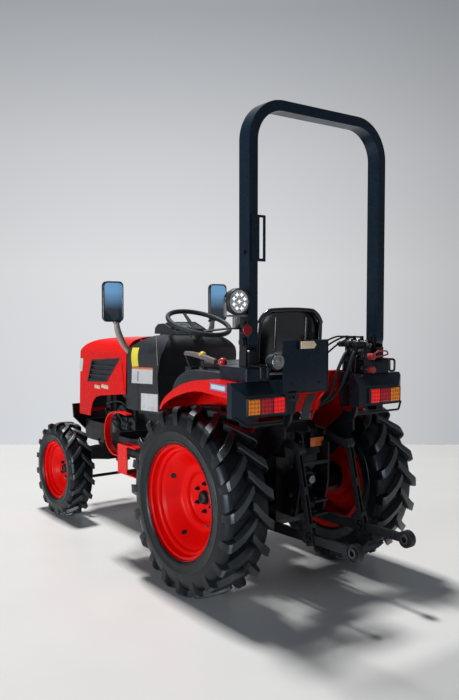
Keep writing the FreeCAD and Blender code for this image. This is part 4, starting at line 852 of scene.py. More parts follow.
def makeWorkLamp():
    y, z = workLampSet["y"], workLampSet["z"]
    centre = spot(0, y, z)
    # outlines here hold (radius, distance forward of the rear axle line)
    bm = bmesh.new()
    shell = [(0, -270), (28, -270), (30, -272), (43, -286), (52, -299), (54, -301), (54, -322), (53, -325.5),
             (50, -326), (47.5, -324.5), (47, -320), (0, -319.5)]
    addTurned(bm, shell, centre, forward, 64)
    for k in range(4):
        r, x = 48 - 5 * k, 6 * k
        addTurned(bm, [(0, -284 + x), (r, -284 + x), (r, -281.4 + x), (0, -281.4 + x)], centre, forward, 48)
    newPiece("work_lamp_body", bm, "darkPlastic", ["work_lamp"], body="hoop")
    bm = bmesh.new()
    addTurned(bm, [(46.6, -321), (46.4, -323.2), (30, -324.4), (0, -324.8)], centre, forward, 64)
    newPiece("work_lamp_glass", bm, "lampWhite", smooth=50, body="hoop")
    bm = bmesh.new()
    circle, turns = workLampSet["circle"], [turn + 0.4 for turn in turnsOf(workLampSet["emitters"])]
    spots = [(0, 0)] + [(circle * math.cos(turn), circle * math.sin(turn)) for turn in turns]
    for across, up in spots:
        own = spot(0, y + across, z + up)
        # painted glint: a four-pointed star of light in each bowl, made to glow
        rays = []
        for k, turn in enumerate(turnsOf(16)):
            long = 9.5 if k % 4 == 0 else (5.2 if k % 2 == 0 else 3.6)
            rays.append(own + Vector((-0.3252, math.cos(turn) * long / 1000, math.sin(turn) * long / 1000)))
        addLoft(bm, [rays, [p - Vector((0.0006, 0, 0)) for p in rays]])
    newPiece("work_lamp_painted_glints", bm, "ledPaintedGlint", body="hoop")
    bm = bmesh.new()
    for across, up in spots:
        own = spot(0, y + across, z + up)
        addTurned(bm, [(10.8, -324.2), (11.6, -325.4), (12.2, -324.2)], own, forward, 24)
    newPiece("work_lamp_bowls", bm, "brightSteel", body="hoop")
    bm = bmesh.new()
    for side in (1, -1):
        addSlab(bm, (-313, y + side * 56 - 2, 1226), (-297, y + side * 56 + 2, 1296), 1.2)
        addHex(bm, spot(-305, y + side * 57.5, 1284), (0, side, 0), 7, 7)
    addSlab(bm, (-313, y - 58, 1219), (-297, y + 58, 1227), 2)
    addSlab(bm, (-312, y - 15, 1174), (-298, y + 15, 1220), 2)
    addHex(bm, spot(-305, y, 1219), downward, 9, 10)
    newPiece("work_lamp_yoke", bm, "wornSteel", body="hoop")
    bm = bmesh.new()
    addSlab(bm, (-318, 400.6, 1168), (-262, 466, 1174.5), 1.5)
    addSlab(bm, (-318, 400.4, 1150), (-262, 405.5, 1208), 1.5)
    addSlab(bm, (-334, 401, 1144), (-329, 446, 1188), 3)
    addSlab(bm, (-332, 401, 1156), (-316, 406, 1176), 1)
    addBolts(bm, ((-300, 405.5, 1196), (-276, 405.5, 1160)), leftward, 6, 6)
    newPiece("work_lamp_bracket", bm, "chassisBlack", body="hoop")
    bm = bmesh.new()
    addTurned(bm, [(0, -334), (22, -334), (22.5, -336), (21, -340), (18, -341), (17, -339.8), (0, -340.6)],
              spot(0, 422, 1166), forward, 40)
    newPiece("side_reflector", bm, "reflectorRed", body="hoop")


makeWorkLamp()
print("work lamp ready")

# tail lamps: black backing, ribbed lenses in three colours from the inside out
tailSet = dict(
    x=-368,
    low=825,
    high=888,
    lenses=[("inner", 256, 318, "lampRed"), ("middle", 321, 384, "lampDeep"), ("outer", 387, 450, "lampAmber")],
)


def addRibbedLens(bm, y0, y1, z0, z1, face, back, flute):
    # a rounded pad whose face is fluted from top to bottom
    across, up = 40, 16

    def place(u, v):
        edge = min(1.0, min(u, 1 - u) * across / 3.0, min(v, 1 - v) * up / 2.0)
        lift = 1 - (1 - edge) ** 2
        wave = 0.2 if 0.42 < v < 0.58 else 0.5 + 0.5 * math.cos(2 * math.pi * u * flute)
        x = back + (face - back) * lift + (1.5 * wave if edge >= 1 else 0.0)
        return spot(x, y0 + u * (y1 - y0), z0 + v * (z1 - z0))

    rows = addGrid(bm, [[place(i / across, j / up) for i in range(across + 1)] for j in range(up + 1)])
    bm.faces.new([rows[j][i] for j, i in gridRim(across, up)])


def makeTailLamps():
    x, low, high = tailSet["x"], tailSet["low"], tailSet["high"]

    def housing(bm):
        addSlab(bm, (x - 6, 251, low - 4), (x - 0.4, 455, high + 4), 2)
        for y in (254, 452):
            addSlab(bm, (x - 13, y - 2, low - 3), (x - 5, y + 1.5, high + 3), 1)
        for y in (319.5, 385.5):
            addSlab(bm, (x - 12, y - 1.2, low), (x - 5, y + 1.2, high), 0.5)

    bm = bothSides(housing)
    newPiece("tail_lamp_housings", bm, "darkPlastic", ["tail_lamps"])
    for name, y0, y1, finish in tailSet["lenses"]:
        bm = bothSides(lambda bm: addRibbedLens(bm, y0, y1, low, high, x - 13.4, x - 5, 9))
        newPiece(f"tail_lens_{name}", bm, finish, smooth=60)


makeTailLamps()
print("tail lamps ready")


# number plate: navy sheet with a folded rim, cream lamp with a pointed end, trailer socket with a bright lid
plateSet = dict(x=-382, y0=20, y1=277, z0=900, z1=1122)


def makeNumberPlate():
    x, y0, y1, z0, z1 = (plateSet[key] for key in ("x", "y0", "y1", "z0", "z1"))
    bm = bmesh.new()
    addSlab(bm, (x - 3, y0, z0), (x, y1, z1), 1.2)
    folds = ((y0, z0, y1, z0 + 5), (y0, z1 - 5, y1, z1), (y0, z0, y0 + 5, z1), (y1 - 5, z0, y1, z1))
    for lowY, lowZ, highY, highZ in folds:
        addSlab(bm, (x - 5, lowY, lowZ), (x - 1, highY, highZ), 1.5)
    newPiece("number_plate_sheet", bm, "navyPowder", ["number_plate"])
    bm = bmesh.new()
    for z, y in product((938, 1060), (70, 227)):
        addTurned(bm, [(0, 0), (7, 0), (7, 1.2), (5, 3.2), (0, 3.8)], spot(x - 3, y, z), backward, 20)
    newPiece("number_plate_screws", bm, "capBlack")
    bm = bmesh.new()
    outline = [(190, 1086), (118, 1086), (104, 1101), (118, 1116), (190, 1116)]
    addPlate(bm, [spot(x - 15, y, z) for y, z in outline], (-0.0068, 0, 0), 3)
    newPiece("plate_lamp_lens", bm, "lampCream", smooth=40)
    bm = bmesh.new()
    outline = [(193, 1083), (116, 1083), (100, 1101), (116, 1119), (193, 1119)]
    addPlate(bm, [spot(x - 3, y, z) for y, z in outline], (-0.013, 0, 0), 2)
    newPiece("plate_lamp_body", bm, "glossPlastic", smooth=40)
    bm = bmesh.new()
    addSlab(bm, (x, 200, 870), (-368.4, 250, 898), 1.5)
    addSlab(bm, (x - 3, 200, 872), (x, 250, 912), 1.5)
    addSlab(bm, (x - 3, 270, 1008), (x, 332, 1062), 2)
    addBolts(bm, ((x - 3, 214, 884), (x - 3, 236, 884)), backward, 6, 6)
    newPiece("number_plate_struts", bm, "chassisBlack")
    centre = spot(x, 306, 1036)
    bm = bmesh.new()
    drum = [(0, 44), (22, 44), (26, 42), (29, 36), (30, 30), (30, 4), (33, 3.5), (36, 2), (36, -4),
            (34.5, -6), (31, -6), (31, -3), (0, -3)]
    addTurned(bm, drum, centre, forward, 56)
    addTurned(bm, [(0, 43), (9, 43), (9, 50), (7.5, 52), (0, 52)], centre, forward, 24)
    newPiece("trailer_socket_drum", bm, "darkPlastic")
    bm = bmesh.new()
    lid = [(0, -6.5), (29, -6.5), (31.5, -8), (32, -10), (30, -13), (25, -14), (22, -13), (12, -13),
           (10, -14), (0, -14)]
    addTurned(bm, lid, centre, forward, 56)
    addTurned(bm, [(0, -16), (5, -16), (5, 16), (0, 16)], spot(x - 8, 306, 1071), leftward, 20)
    addSlab(bm, (x - 12, 298, 1062), (x - 7, 314, 1074), 1)
    newPiece("trailer_socket_lid", bm, "wornSteel", smooth=35)


makeNumberPlate()
print("number plate and socket ready")

# mirrors: gloss shells, pale bent arms with a ball joint
mirrorSet = dict(x=935, y=350, half=62, low=1185, high=1405)


def roundedRing(halfA, halfB, bend):
    points = []
    for k, (a, b) in enumerate(((1, 1), (-1, 1), (-1, -1), (1, -1))):
        for i in range(11):
            turn = math.pi / 2 * (k + i / 10)
            points.append((a * (halfA - bend) + bend * math.cos(turn),
                           b * (halfB - bend) + bend * math.sin(turn)))
    return points


def makeMirrors():
    x, y, low, high = mirrorSet["x"], mirrorSet["y"], mirrorSet["low"], mirrorSet["high"]
    middle, reach = (low + high) / 2, (high - low) / 2

    def shell(bm):
        rows = []
        levels = ((9, 5.9), (8, 1.2), (6.5, 0), (2, 0), (0.3, 1.5), (0, 5), (0, 16), (3, 25), (10, 31.5),
                  (22, 34), (40, 34))
        for inset, level in levels:
            ring = roundedRing(mirrorSet["half"] - inset, reach - inset, max(5, 26 - inset * 0.6))
            rows.append([spot(x + level, y + a, middle + b) for a, b in ring])
        addLoft(bm, rows)

    newPiece("mirror_shells", bothSides(shell), "glossPlastic", ["mirrors"], smooth=50)

    def arm(bm):
        route = [(x + 26, y - 26, 1214), (x + 24, y - 30, 1178), (x + 24, y - 36, 1140), (x + 36, 292, 1098),
                 (x + 52, 262, 1058), (992, 228, 1018), (1004, 212, 996)]
        addBentTube(bm, route, 8, lambda t: 11 + 7 * math.sin(math.pi * t), 18)
        addSlab(bm, (980, 184, 968), (1036, 212, 1012), 6)

    newPiece("mirror_arms", bothSides(arm), "stoneGrey", smooth=50)

    def ball(bm):
        profile = [(0, 10), (8, 10.5), (14, 14), (17, 22), (17.5, 30), (15, 38), (9, 43), (0, 44)]
        addTurned(bm, profile, spot(x, y - 28, 1186), forward, 32)
        addHex(bm, spot(x + 26, y - 44, 1186), (0, -1, 0), 8, 9)

    newPiece("mirror_ball_joints", bothSides(ball), "wornSteel", smooth=40)


makeMirrors()
print("mirrors ready")

# plain strips and plates laid on the panels, left blank
# node, finish, corners, and where they differ the reach of the press and the thickness
labelSet = dict(
    cowlYellow=("dash_cowl", "labelYellow", [(937, 1042), (866, 1044), (844, 944), (914, 938)]),
    cowlBand=("dash_cowl", "labelOrange", [(916, 936), (694, 945), (694, 936), (916, 927)]),
    cowlUpper=("dash_cowl", "labelWhite", [(916, 926), (694, 935), (698, 858), (920, 848)]),
    cowlLower=("dash_cowl", "labelWhite", [(818, 800), (644, 808), (646, 716), (820, 708)]),
    hoodRear=("hood", "labelCream", [(1358, 806), (1268, 804), (1264, 782), (1354, 784)]),
    hoodFront=("hood", "labelCream", [(1452, 796), (1376, 795), (1374, 774), (1450, 775)]),
    fenderEdge=("fenders", "labelBlue", [(-190, 947), (-300, 943), (-300, 915), (-190, 919)]),
    fender=("fenders", "labelWhite", [(-197, 942), (-293, 938), (-293, 920), (-197, 924)], (0.3, 0.0016)),
)


def overlay(node):
    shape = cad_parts[node]
    return BVHTree.FromPolygons(
        [shape.matrix_world @ v.co for v in shape.data.vertices],
        [list(p.vertices) for p in shape.data.polygons]
    )


def layPatch(bm, tree, corners, away, reach, thick):
    # a thin sheet pressed onto a panel: corners go round it, away points off the panel
    across, up = 10, 6

    def pressed(u, v):
        place = corners[0].lerp(corners[1], u).lerp(corners[3].lerp(corners[2], u), v)
        hit = tree.ray_cast(place, -away, reach)[0]
        return (hit or place - away * reach) + away * thick

    top = [[pressed(i / across, j / up) for i in range(across + 1)] for j in range(up + 1)]
    grid = addGrid(bm, top)
    under = addGrid(bm, [[p - away * thick * 1.6 for p in row] for row in top])
    rim = gridRim(across, up)
    for (j, i), (m, n) in zip(rim, rim[1:] + rim[:1]):
        bm.faces.new((grid[j][i], grid[m][n], under[m][n], under[j][i]))


def makeLabels():
    trees = {name: overlay(name) for name in ("dash_cowl", "hood", "fenders")}
    for name, (node, finish, corners, *press) in labelSet.items():
        bm = bmesh.new()
        reach, thick = press[0] if press else (0.45, 0.0009)
        layPatch(bm, trees[node], [spot(x, 600, z) for x, z in corners], leftward, reach, thick)
        newPiece(f"plate_{name}", bm, finish, smooth=50,
                 body="hood" if node == "hood" else "chassis")


makeLabels()
print("blank plates ready")

# knobs and the pale lever over the console controls
knobSet = dict(
    red=dict(x=50, y=264, z=1010, radius=21, finish="knobRed"),
    yellow=dict(x=212, y=264, z=1034, radius=19, finish="knobYellow"),
)


def makeKnobs():
    for name, spec in knobSet.items():
        bm = bmesh.new()
        r = spec["radius"]
        profile = [(0, -r * 1.15), (r * 0.42, -r * 1.15), (r * 0.5, -r * 0.98), (r * 0.52, -r * 0.85)]
        for k in range(1, 12):
            turn = math.pi * (0.22 + 0.78 * k / 11)
            profile.append((r * math.sin(turn) if k < 11 else 0.0, -r * math.cos(turn) * 0.97))
        addTurned(bm, profile, spot(spec["x"], spec["y"], spec["z"]), (0.1, 0, 1), 32)
        newPiece(f"knob_{name}", bm, spec["finish"], smooth=50)
    bm = bmesh.new()
    route = [(96, 270, 1008), (112, 270, 1011), (170, 270, 1022), (230, 270, 1031), (290, 270, 1036),
             (344, 270, 1037)]
    addBentTube(bm, route, 6, lambda t: 15.5 - 4 * t if t > 0.12 else 11 + 38 * t, 18)
    newPiece("lever_sleeve", bm, "leverGrey", smooth=50)


makeKnobs()
print("knobs ready")

# dial plate: bezel, glass and raised scale ring on the sloping face
dialSet = dict(low=(704, 1146), high=(806, 1182), half=96)


def makeDial():
    (x0, z0), (x1, z1) = dialSet["low"], dialSet["high"]
    run = Vector((x1 - x0, 0, z1 - z0))
    out = Vector((-(z1 - z0), 0, x1 - x0)).normalized()

    def at(u, v, lift):
        p = Vector((x0, 0, z0)) + run * u + Vector((0, v, 0)) + out * lift
        return spot(*p)

    bm = bmesh.new()
    frameSet = ((0.04, 0.10, -92, 92), (0.90, 0.96, -92, 92), (0.04, 0.96, 86, 92), (0.04, 0.96, -92, -86))
    for u0, u1, v0, v1 in frameSet:
        outline = [at(u0, v0, 0), at(u1, v0, 0), at(u1, v1, 0), at(u0, v1, 0)]
        addPlate(bm, outline, out * 0.004, 1.2)
    newPiece("dial_bezel", bm, "glossPlastic", smooth=40)
    # dial glass: its blue-grey colour is a painted reflection of the sky
    bm = bmesh.new()
    outline = [at(0.11, -85, 0.3), at(0.89, -85, 0.3), at(0.89, 85, 0.3), at(0.11, 85, 0.3)]
    addPlate(bm, outline, out * 0.0012, 0.4)
    newPiece("dial_glass", bm, "screenPaintedReflection", smooth=40)
    bm = bmesh.new()
    for v, radius in ((0, 36), (-58, 20), (58, 20)):
        band = [(radius, 1.4), (radius, 2.6), (radius - 2.5, 2.6), (radius - 2.5, 1.4)]
        addTurned(bm, band, at(0.5, v, 0), out, 48)
        for k in range(9):
            turn = math.radians(-210 + 30 * k)
            inner = run.normalized() * math.sin(turn) + leftward * math.cos(turn)
            ends = [at(0.5, v, 2) + inner * reach / 1000 for reach in (radius - 8, radius - 3.5)]
            addTube(bm, ends, 0.8, 6)
        hand = run.normalized() * 0.4 + Vector((0, 0.9, 0))
        addTube(bm, [at(0.5, v, 2.4), at(0.5, v, 2.4) + hand.normalized() * (radius - 9) / 1000], 0.9, 6)
    newPiece("dial_scales", bm, "dialPrint", smooth=40)


makeDial()
print("dial ready")


# two pressure hoses from the spool valve down through the deck, held at both ends
hoseSet = dict(radius=8, sections=(-280, -232), length=0.46, portY=-304.4, portZ=1060.3, foot=(-144, -94),
               shift=26)


def makeHose(name, x, shift):
    y, top = hoseSet["portY"], hoseSet["portZ"] - 48
    footX, footY = (place + shift for place in hoseSet["foot"])
    route = [(x, y + 2, top + 48), (x, y + 26, top + 48), (x, y + 62, top + 46), (x, -204 + shift, top - 60),
             (-216, -178 + shift, 832), (footX - 30, footY - 24, 805), (footX, footY, 782), (footX, footY, 737)]
    curve = bpy.data.curves.new(name, "CURVE")
    curve.dimensions = "3D"
    line = curve.splines.new("NURBS")
    line.points.add(len(route) - 1)
    for point, place in zip(line.points, route):
        point.co = (*spot(*place), 1)
    line.order_u = 3
    line.use_endpoint_u = True
    line.resolution_u = 12
    curve.bevel_depth = hoseSet["radius"] / 1000
    curve.bevel_resolution = 4
    curve.use_fill_caps = True
    hose = bpy.data.objects.new(name, curve)
    bpy.context.scene.collection.objects.link(hose)
    curve.materials.append(finishes["hoseRubber"])
    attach(hose, "chassis")
    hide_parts("valve_hoses")


def addFittings(bm, x, shift):
    # crimped ferrule and hexagon where a hose meets its section, and again at its foot
    sleeve = [(9.6, 0), (10.2, 1.5), (10.2, 8), (9.4, 9), (10.2, 10), (10.2, 18), (9.4, 19), (10.2, 20),
              (10.2, 27), (8.2, 29)]
    addTurned(bm, sleeve, spot(x, -303.8 + 8, hoseSet["portZ"]), leftward, 24)
    addHex(bm, spot(x, -303.9, hoseSet["portZ"]), leftward, 12.5, 8, washer=False, stud=False)
    foot = spot(*(place + shift for place in hoseSet["foot"]), 737)
    addHex(bm, foot, upward, 13, 9, washer=False, stud=False)
    addTurned(bm, [(10.2, 9), (10.2, 20), (9.4, 21), (10.2, 22), (10.2, 34), (8.4, 36)], foot, upward, 24)


def makeHoses():
    for k, x in enumerate(hoseSet["sections"]):
        makeHose(f"valve_hose_{k + 1}", x, hoseSet["shift"] * k)
    bm = bmesh.new()
    for k, x in enumerate(hoseSet["sections"]):
        addFittings(bm, x, hoseSet["shift"] * k)
    newPiece("hose_fittings", bm, "wornSteel")


makeHoses()
print("hoses ready")

# spool valve trim: caps, tie bolts, groove lines, bent steel pipes and control rods
valveSet = dict(sections=(-280, -232, -184), y=-322)


def makeValveTrim():
    bm = bmesh.new()
    y = valveSet["y"]
    for x in valveSet["sections"]:
        cap = [(0, 0), (12.5, 0), (13, 1.5), (13, 9), (11, 10.5), (11, 17), (9, 19), (0, 19)]
        addTurned(bm, cap, spot(x, y, 1092), upward, 28)
        addBolts(bm, product((x - 19.8,), (y - 8,), (1036, 1078)), backward, 4.5, 4, stud=False)
    for z in (1030, 1086):
        for y in (-333, -311):
            addHex(bm, spot(-300, y, z), backward, 5.5, 6)
            addHex(bm, spot(-164, y, z), forward, 5.5, 6)
    newPiece("valve_bolts", bm, "wornSteel")
    bm = bmesh.new()
    for x in valveSet["sections"]:
        # groove lines cast round each section
        for z in (1040, 1072):
            addSlab(bm, (x - 21, -341, z - 1.5), (x + 21, -303.2, z + 1.5), 0.6, 1)
        addSlab(bm, (x - 8, -341.5, 1050), (x + 8, -303, 1066), 2)
    for x in valveSet["sections"]:
        # spring caps at the inner end of each section
        cap = [(0, 0), (16, 0), (16, 6), (14, 8), (14, 52), (12, 56), (8, 58), (8, 66), (0, 67)]
        addTurned(bm, cap, spot(x, -303, 1088), leftward, 28)
    newPiece("valve_castings", bm, "castMetal")
    bm = bmesh.new()
    for k, (x, low) in enumerate(((-268, 905), (-244, 890), (-192, 880))):
        route = [(x, -303, 1036), (x, -288, 1036), (x - 2, -272, 1028), (x - 4, -266, 1000),
                 (x - 2, -262, 960 - 6 * k), (x + 4, -252, low + 20), (x + 14, -236, low)]
        addBentTube(bm, route, 8, 5, 12)
        addHex(bm, spot(x, -303.5, 1036), leftward, 9, 10, washer=False, stud=False)
    for k, x in enumerate((-256, -208, -160)):
        # control rod from a section's lever to the console
        rod = [(x, -322, 1120), (x + 20, -322, 1121), (x + 70, -320 + 6 * k, 1116),
               (x + 150, -306 + 8 * k, 1078), (x + 230, -286 + 10 * k, 1010), (x + 262, -276 + 10 * k, 962)]
        addBentTube(bm, rod, 8, 4.5, 10)
        addSlab(bm, (x - 5, -330, 1104), (x + 5, -314, 1126), 2)
    newPiece("valve_pipes", bm, "chassisBlack", smooth=50)
    bm = bmesh.new()
    for z in (975, 1035):
        sleeve = [(12.4, 0), (13.6, 1), (13.6, 7), (12.6, 8), (12.6, 17), (13.8, 18), (13.8, 26), (12.4, 28)]
        addTurned(bm, sleeve, spot(-344.6, -280.4, z), forward, 32)
        addHex(bm, spot(-312, -280.4, z), forward, 15.5, 10, washer=False, stud=False)
    newPiece("coupler_sleeves", bm, "brightSteel")


makeValveTrim()
print("valve ready")

# bolts and steel rings about the rear end
boltSet = dict(
    hoop=[(1, 1480), (-1, 1150), (-1, 1480)],
    housing=[(-96, 360), (96, 360), (-104, 430), (104, 430), (-104, 560), (104, 560), (-96, 690), (96, 690),
             (0, 712)],
)


def makeRearBolts():
    bm = bmesh.new()
    for side, z in boltSet["hoop"]:
        addHex(bm, spot(-286, side * 400.2, z), (0, side, 0), 8, 7)
    newPiece("hoop_bolts", bm, "castMetal", body="hoop")
    bm = bmesh.new()
    addBolts(bm, ((-240, y, z) for y, z in boltSet["housing"]), backward, 9, 8)
    for turn in turnsOf(8, 0.5):
        addHex(bm, spot(-240, 46 * math.cos(turn), 490 + 46 * math.sin(turn)), backward, 5.5, 5)
    collar = [(22, 0), (36, 0), (37, 2), (36, 7), (33, 9), (24, 9), (22, 6)]
    addTurned(bm, collar, spot(-240, 0, 490), backward, 40)
    newPiece("housing_bolts", bm, "castMetal")
    for side, name in ((1, "left"), (-1, "right")):
        bm = bmesh.new()
        ring = [(11.5, -1), (11.5, 2.5), (13, 3.6), (17, 4.2), (20, 3), (20.5, 0), (20.5, -1)]
        for out in (1, -1):
            addTurned(bm, ring, spot(-681, side * 153 + out * 18, 294), (0, out, 0), 40)
        newPiece(f"link_ball_{name}", bm, "engineCast", smooth=40, body=f"lower_link_{name}")


makeRearBolts()
print("rear bolts ready")


# side consoles: a rounded arch moulding that follows the mudguard, with two raised ridges
consoleSet = dict(
    crest=[(430, 826), (427, 860), (412, 892), (388, 918), (356, 938), (318, 953), (272, 963), (203, 968),
           (90, 968), (-20, 965), (-80, 956), (-120, 938)],
    low=[(430, 800), (418, 790), (398, 784), (372, 778), (340, 772), (306, 768), (268, 770), (200, 776),
         (90, 784), (-20, 792), (-80, 796), (-120, 800)],
    inner=236.5,
    outer=299.2,
)


def makeConsoles():
    def console(bm):
        rows, inner, outer = [], consoleSet["inner"], consoleSet["outer"]
        for (x, z), (lowX, lowZ) in zip(consoleSet["crest"], consoleSet["low"]):
            ring = [(outer, lowX, lowZ), (outer, x, z - 12)]
            ring += [(outer - 3, x, z - 5), (outer - 10, x, z - 1), (outer - 24, x, z)]
            ring += [(inner + 10, x, z), (inner + 3, x, z - 4), (inner, x, z - 11), (inner, lowX, lowZ)]
            rows.append([spot(px, py, pz) for py, px, pz in ring])
        addLoft(bm, rows)

    newPiece("console_mouldings", bothSides(console), "darkPlastic", ["consoles"], smooth=40)

    def ridge(bm):
        for inset, y in ((16, 296.5), (42, 297.5)):
            path = []
            for (x, z), (lowX, lowZ) in list(zip(consoleSet["crest"], consoleSet["low"]))[:9]:
                share = inset / max(40.0, z - lowZ)
                path.append((x + (lowX - x) * share, y, z + (lowZ - z) * share))
            addBentTube(bm, path, 3, 3.4, 8)

    newPiece("console_ridges", bothSides(ridge), "glossPlastic", smooth=50)


makeConsoles()
print("consoles ready")

# black plates and straps about the deck and valve, the red valance's rolled edge, and a blank gearbox patch
deckSet = dict(
    straps=[
        [(66, 884), (12, 884), (50, 840), (62, 772), (108, 772), (98, 836)],
        [(206, 884), (116, 884), (130, 852), (150, 815), (206, 815)],
    ],
    edge=[(-26, 880), (10, 847), (33, 800), (48, 772)],
    patch=[(-242.5, -92, 632), (-240, -12, 672)],
)


def makeDeckTrim():
    bm = bmesh.new()
    addSlab(bm, (-311, 150, 950), (-306.5, 300, 976), 1.5)
    addSlab(bm, (-306, 30, 967.5), (-170, 300, 973), 2)
    addSlab(bm, (-216, -300, 796), (-211, -226, 960), 1.5)
    addSlab(bm, (-211, -300, 940), (-140, -226, 945), 1.5)
    addBolts(bm, product((-250,), (60, 130, 200, 270), (973,)), upward, 6, 5, stud=False)
    addBolts(bm, ((-216, y, z) for z, y in product((815, 930), (-240, -286))), backward, 6, 5, stud=False)
    for outline in deckSet["straps"]:
        addPlate(bm, [spot(-309.5, y, z) for y, z in outline], (-0.003, 0, 0), 0.8)
    newPiece("deck_trim", bm, "darkPlastic")
    bm = bmesh.new()
    addBentTube(bm, [(-309, y, z) for y, z in deckSet["edge"]], 6, 4.5, 10)
    newPiece("valance_edges", bm, "redPaint", smooth=50)
    bm = bmesh.new()
    addSlab(bm, *deckSet["patch"], 0.6)
    newPiece("plate_gearbox", bm, "labelOrange")


makeDeckTrim()
print("deck ready")

# auxiliary parts on the left of the engine: pump, filter, bowl and the pipes between them
baySet = dict(
    pipes=[
        [(1060, 200, 700), (1120, 206, 720), (1200, 206, 716), (1280, 200, 700), (1340, 180, 690)],
        [(1090, 200, 520), (1160, 208, 560), (1240, 210, 600), (1300, 206, 640), (1360, 180, 650)],
        [(1050, 202, 600), (1100, 208, 610), (1150, 206, 640)],
    ],
)


def makeBay():
    bm = bmesh.new()
    can = [(0, -42), (34, -42), (38, -36), (38, 34), (34, 40), (20, 44), (20, 56), (0, 56)]
    addTurned(bm, can, spot(1290, 150, 560), upward, 36)
    case = [(0, -10), (46, -10), (48, -4), (48, 18), (42, 26), (22, 30), (22, 44), (0, 46)]
    addTurned(bm, case, spot(1180, 150, 648), leftward, 36)
    addSlab(bm, (1080, 150, 560), (1150, 196, 632), 8)
    # casting between the side rail and the drive tube
    addSlab(bm, (1250, 40, 402), (1580, 130, 464), 14)
    addBolts(bm, product((1290, 1380, 1470, 1550), (130,), (436,)), leftward, 10, 9)
    for turn in turnsOf(5):
        addHex(bm, spot(1180 + 36 * math.cos(turn), 168, 648 + 36 * math.sin(turn)), leftward, 6, 8)
    addBolts(bm, ((x, 196, z) for z, x in product((578, 614), (1100, 1130))), leftward, 7, 8)
    newPiece("engine_ancillaries", bm, "engineCast", smooth=32)
    bm = bmesh.new()
    for path in baySet["pipes"]:
        addBentTube(bm, path, 8, 6, 12)
        for end in (path[0], path[-1]):
            addSlab(bm, (end[0] - 10, end[1] - 20, end[2] - 10), (end[0] + 10, end[1] + 6, end[2] + 10), 4)
    newPiece("engine_pipes", bm, "castMetal", smooth=50)


makeBay()
print("bay ready")

# painted highlight: a pale strip on the cowl edge where the edge catches the light
cowlHighlightSet = dict(path=[(652, 251.5, 1112), (650, 251.5, 1070), (646, 251.5, 1010), (641, 251.5, 960)])


def makeCowlEdgeHighlight():
    bm = bmesh.new()
    addBentTube(bm, cowlHighlightSet["path"], 6, 2.6, 8)
    newPiece("cowl_trim", bm, "stoneGrey", smooth=50)


makeCowlEdgeHighlight()
print("cowl trim ready")

# studio
studioSet = dict(
    # painted shade: the wall's colours darken towards the top
    wall=[(0.0, (0.69, 0.71, 0.74)), (0.40, (0.73, 0.735, 0.755)), (0.68, (0.60, 0.61, 0.635)),
          (1.0, (0.36, 0.38, 0.40))],
    wallSpan=(-0.155, 0.365),
    wallShift=(3.12, 0.33),
    wallFade=0.20,
    wallFloor=0.42,
    skyLight=(0.62, 0.80, 1.0),
    skyPower=0.035,
    floorTone=(0.74, 0.74, 0.735),
    floorFar=7.0,
    floorNear=9.0,
    floorHalf=12.0,
)
viewAhead = Vector((math.cos(cameraSet["yaw"]), math.sin(cameraSet["yaw"]), 0))
viewRight = Vector((viewAhead.y, -viewAhead.x, 0))


def makeFloor(spec):
    foot = Vector((cameraSet["place"][0], cameraSet["place"][1], -0.0005))
    far, near = viewAhead * spec["floorFar"], viewAhead * -spec["floorNear"]
    wide = viewRight * spec["floorHalf"]
    corners = [foot + run + side for run, side in ((far, wide), (far, -wide), (near, -wide), (near, wide))]
    mesh = bpy.data.meshes.new("studioFloor")
    mesh.from_pydata([tuple(c) for c in corners], [], [(0, 1, 2, 3)])
    floor = bpy.data.objects.new("studioFloor", mesh)
    bpy.context.scene.collection.objects.link(floor)
    mat, tree, shader = newMaterial("studioFloor")
    tone = spec["floorTone"]
    base = rampOf(tree, noiseOf(tree, 0.9, 6, 0.6), [(0.25, tuple(v * 0.94 for v in tone)), (0.75, tone)])
    rough = greyRamp(tree, noiseOf(tree, 3, 6, 0.6), 0.32, 0.5)
    dressShader(tree, shader, base, rough, **{"Specular IOR Level": 0.3})
    floor.data.materials.append(mat)


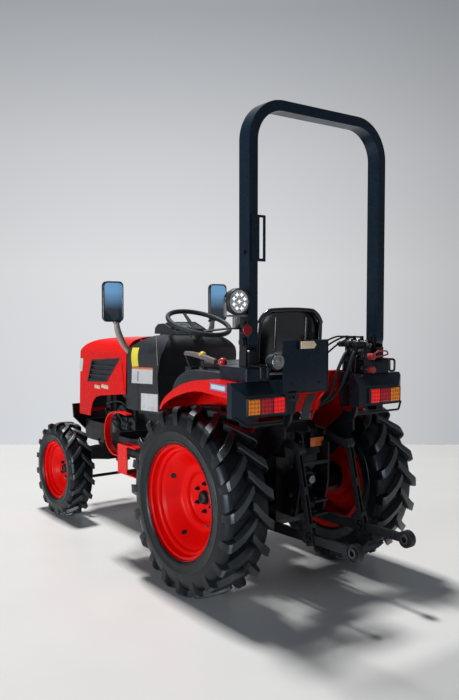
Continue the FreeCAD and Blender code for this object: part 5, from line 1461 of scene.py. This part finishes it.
def makeWorld(spec):
    world = bpy.data.worlds.new("studioWorld")
    world.use_nodes = True
    bpy.context.scene.world = world
    tree = world.node_tree
    tree.nodes.clear()
    out = addNode(tree, "ShaderNodeOutputWorld")
    ray = addNode(tree, "ShaderNodeTexCoord").outputs["Generated"]
    parts = addNode(tree, "ShaderNodeSeparateXYZ", Vector=ray)
    bottom, top = spec["wallSpan"]
    limits = {"From Min": bottom, "From Max": top}
    height = addNode(tree, "ShaderNodeMapRange", Value=parts.outputs["Z"], **limits)
    # painted shade: the wall's colour darkens towards its top
    wall = rampOf(tree, height.outputs["Result"], spec["wall"])
    # painted shade: the wall darkens to both sides of its brightest stretch, and never below its floor
    across = addNode(tree, "ShaderNodeVectorMath", operation="DOT_PRODUCT")
    tree.links.new(ray, across.inputs[0])
    across.inputs[1].default_value = viewRight
    offset = mathOf(tree, "MULTIPLY_ADD", across.outputs["Value"], *spec["wallShift"])
    square = mathOf(tree, "MULTIPLY", offset, offset)
    fade = mathOf(tree, "MULTIPLY_ADD", square, -spec["wallFade"], 1.0)
    strength = mathOf(tree, "MAXIMUM", fade, spec["wallFloor"])
    seen = addNode(tree, "ShaderNodeBackground", Color=wall, Strength=strength)
    light = addNode(tree, "ShaderNodeBackground", Color=(*spec["skyLight"], 1), Strength=spec["skyPower"])
    # camera, glossy and transmission rays see the wall, all others get the sky's light
    path = addNode(tree, "ShaderNodeLightPath")
    shown = path.outputs["Is Camera Ray"]
    for kind in ("Is Glossy Ray", "Is Transmission Ray"):
        shown = mathOf(tree, "MAXIMUM", shown, path.outputs[kind])
    mix = addNode(tree, "ShaderNodeMixShader", Fac=shown)
    tree.links.new(light.outputs[0], mix.inputs[1])
    tree.links.new(seen.outputs[0], mix.inputs[2])
    tree.links.new(mix.outputs[0], out.inputs["Surface"])


lampSet = dict(
    keyLamp=dict(place=(3.4, -0.1, 11.7), aim=(-0.6, 0, 0.4), size=(1.5, 1.5), power=1600,
                 colour=(1, 0.99, 0.97)),
    sideLamp=dict(place=(-0.8, 9.0, 1.1), aim=(-0.3, 0, 0.9), size=(6.0, 1.6), power=520,
                  colour=(0.90, 0.95, 1.0)),
    rearLamp=dict(place=(-6.5, -1.0, 2.2), aim=(-0.6, 0, 0.8), size=(1.6, 1.2), power=18,
                  colour=(0.72, 0.86, 1.0)),
)


def makeLamps(lamps):
    for name, spec in lamps.items():
        data = bpy.data.lights.new(name, "AREA")
        data.shape = "RECTANGLE"
        data.size, data.size_y = spec["size"]
        data.energy = spec["power"]
        data.color = spec["colour"]
        lamp = bpy.data.objects.new(name, data)
        lamp.location = spec["place"]
        lamp.rotation_mode = "QUATERNION"
        lamp.rotation_quaternion = (Vector(spec["aim"]) - Vector(spec["place"])).to_track_quat("-Z", "Y")
        bpy.context.scene.collection.objects.link(lamp)


makeFloor(studioSet)
makeWorld(studioSet)
makeLamps(lampSet)
print("studio ready")

bpy.context.scene.view_settings.view_transform = "Standard"
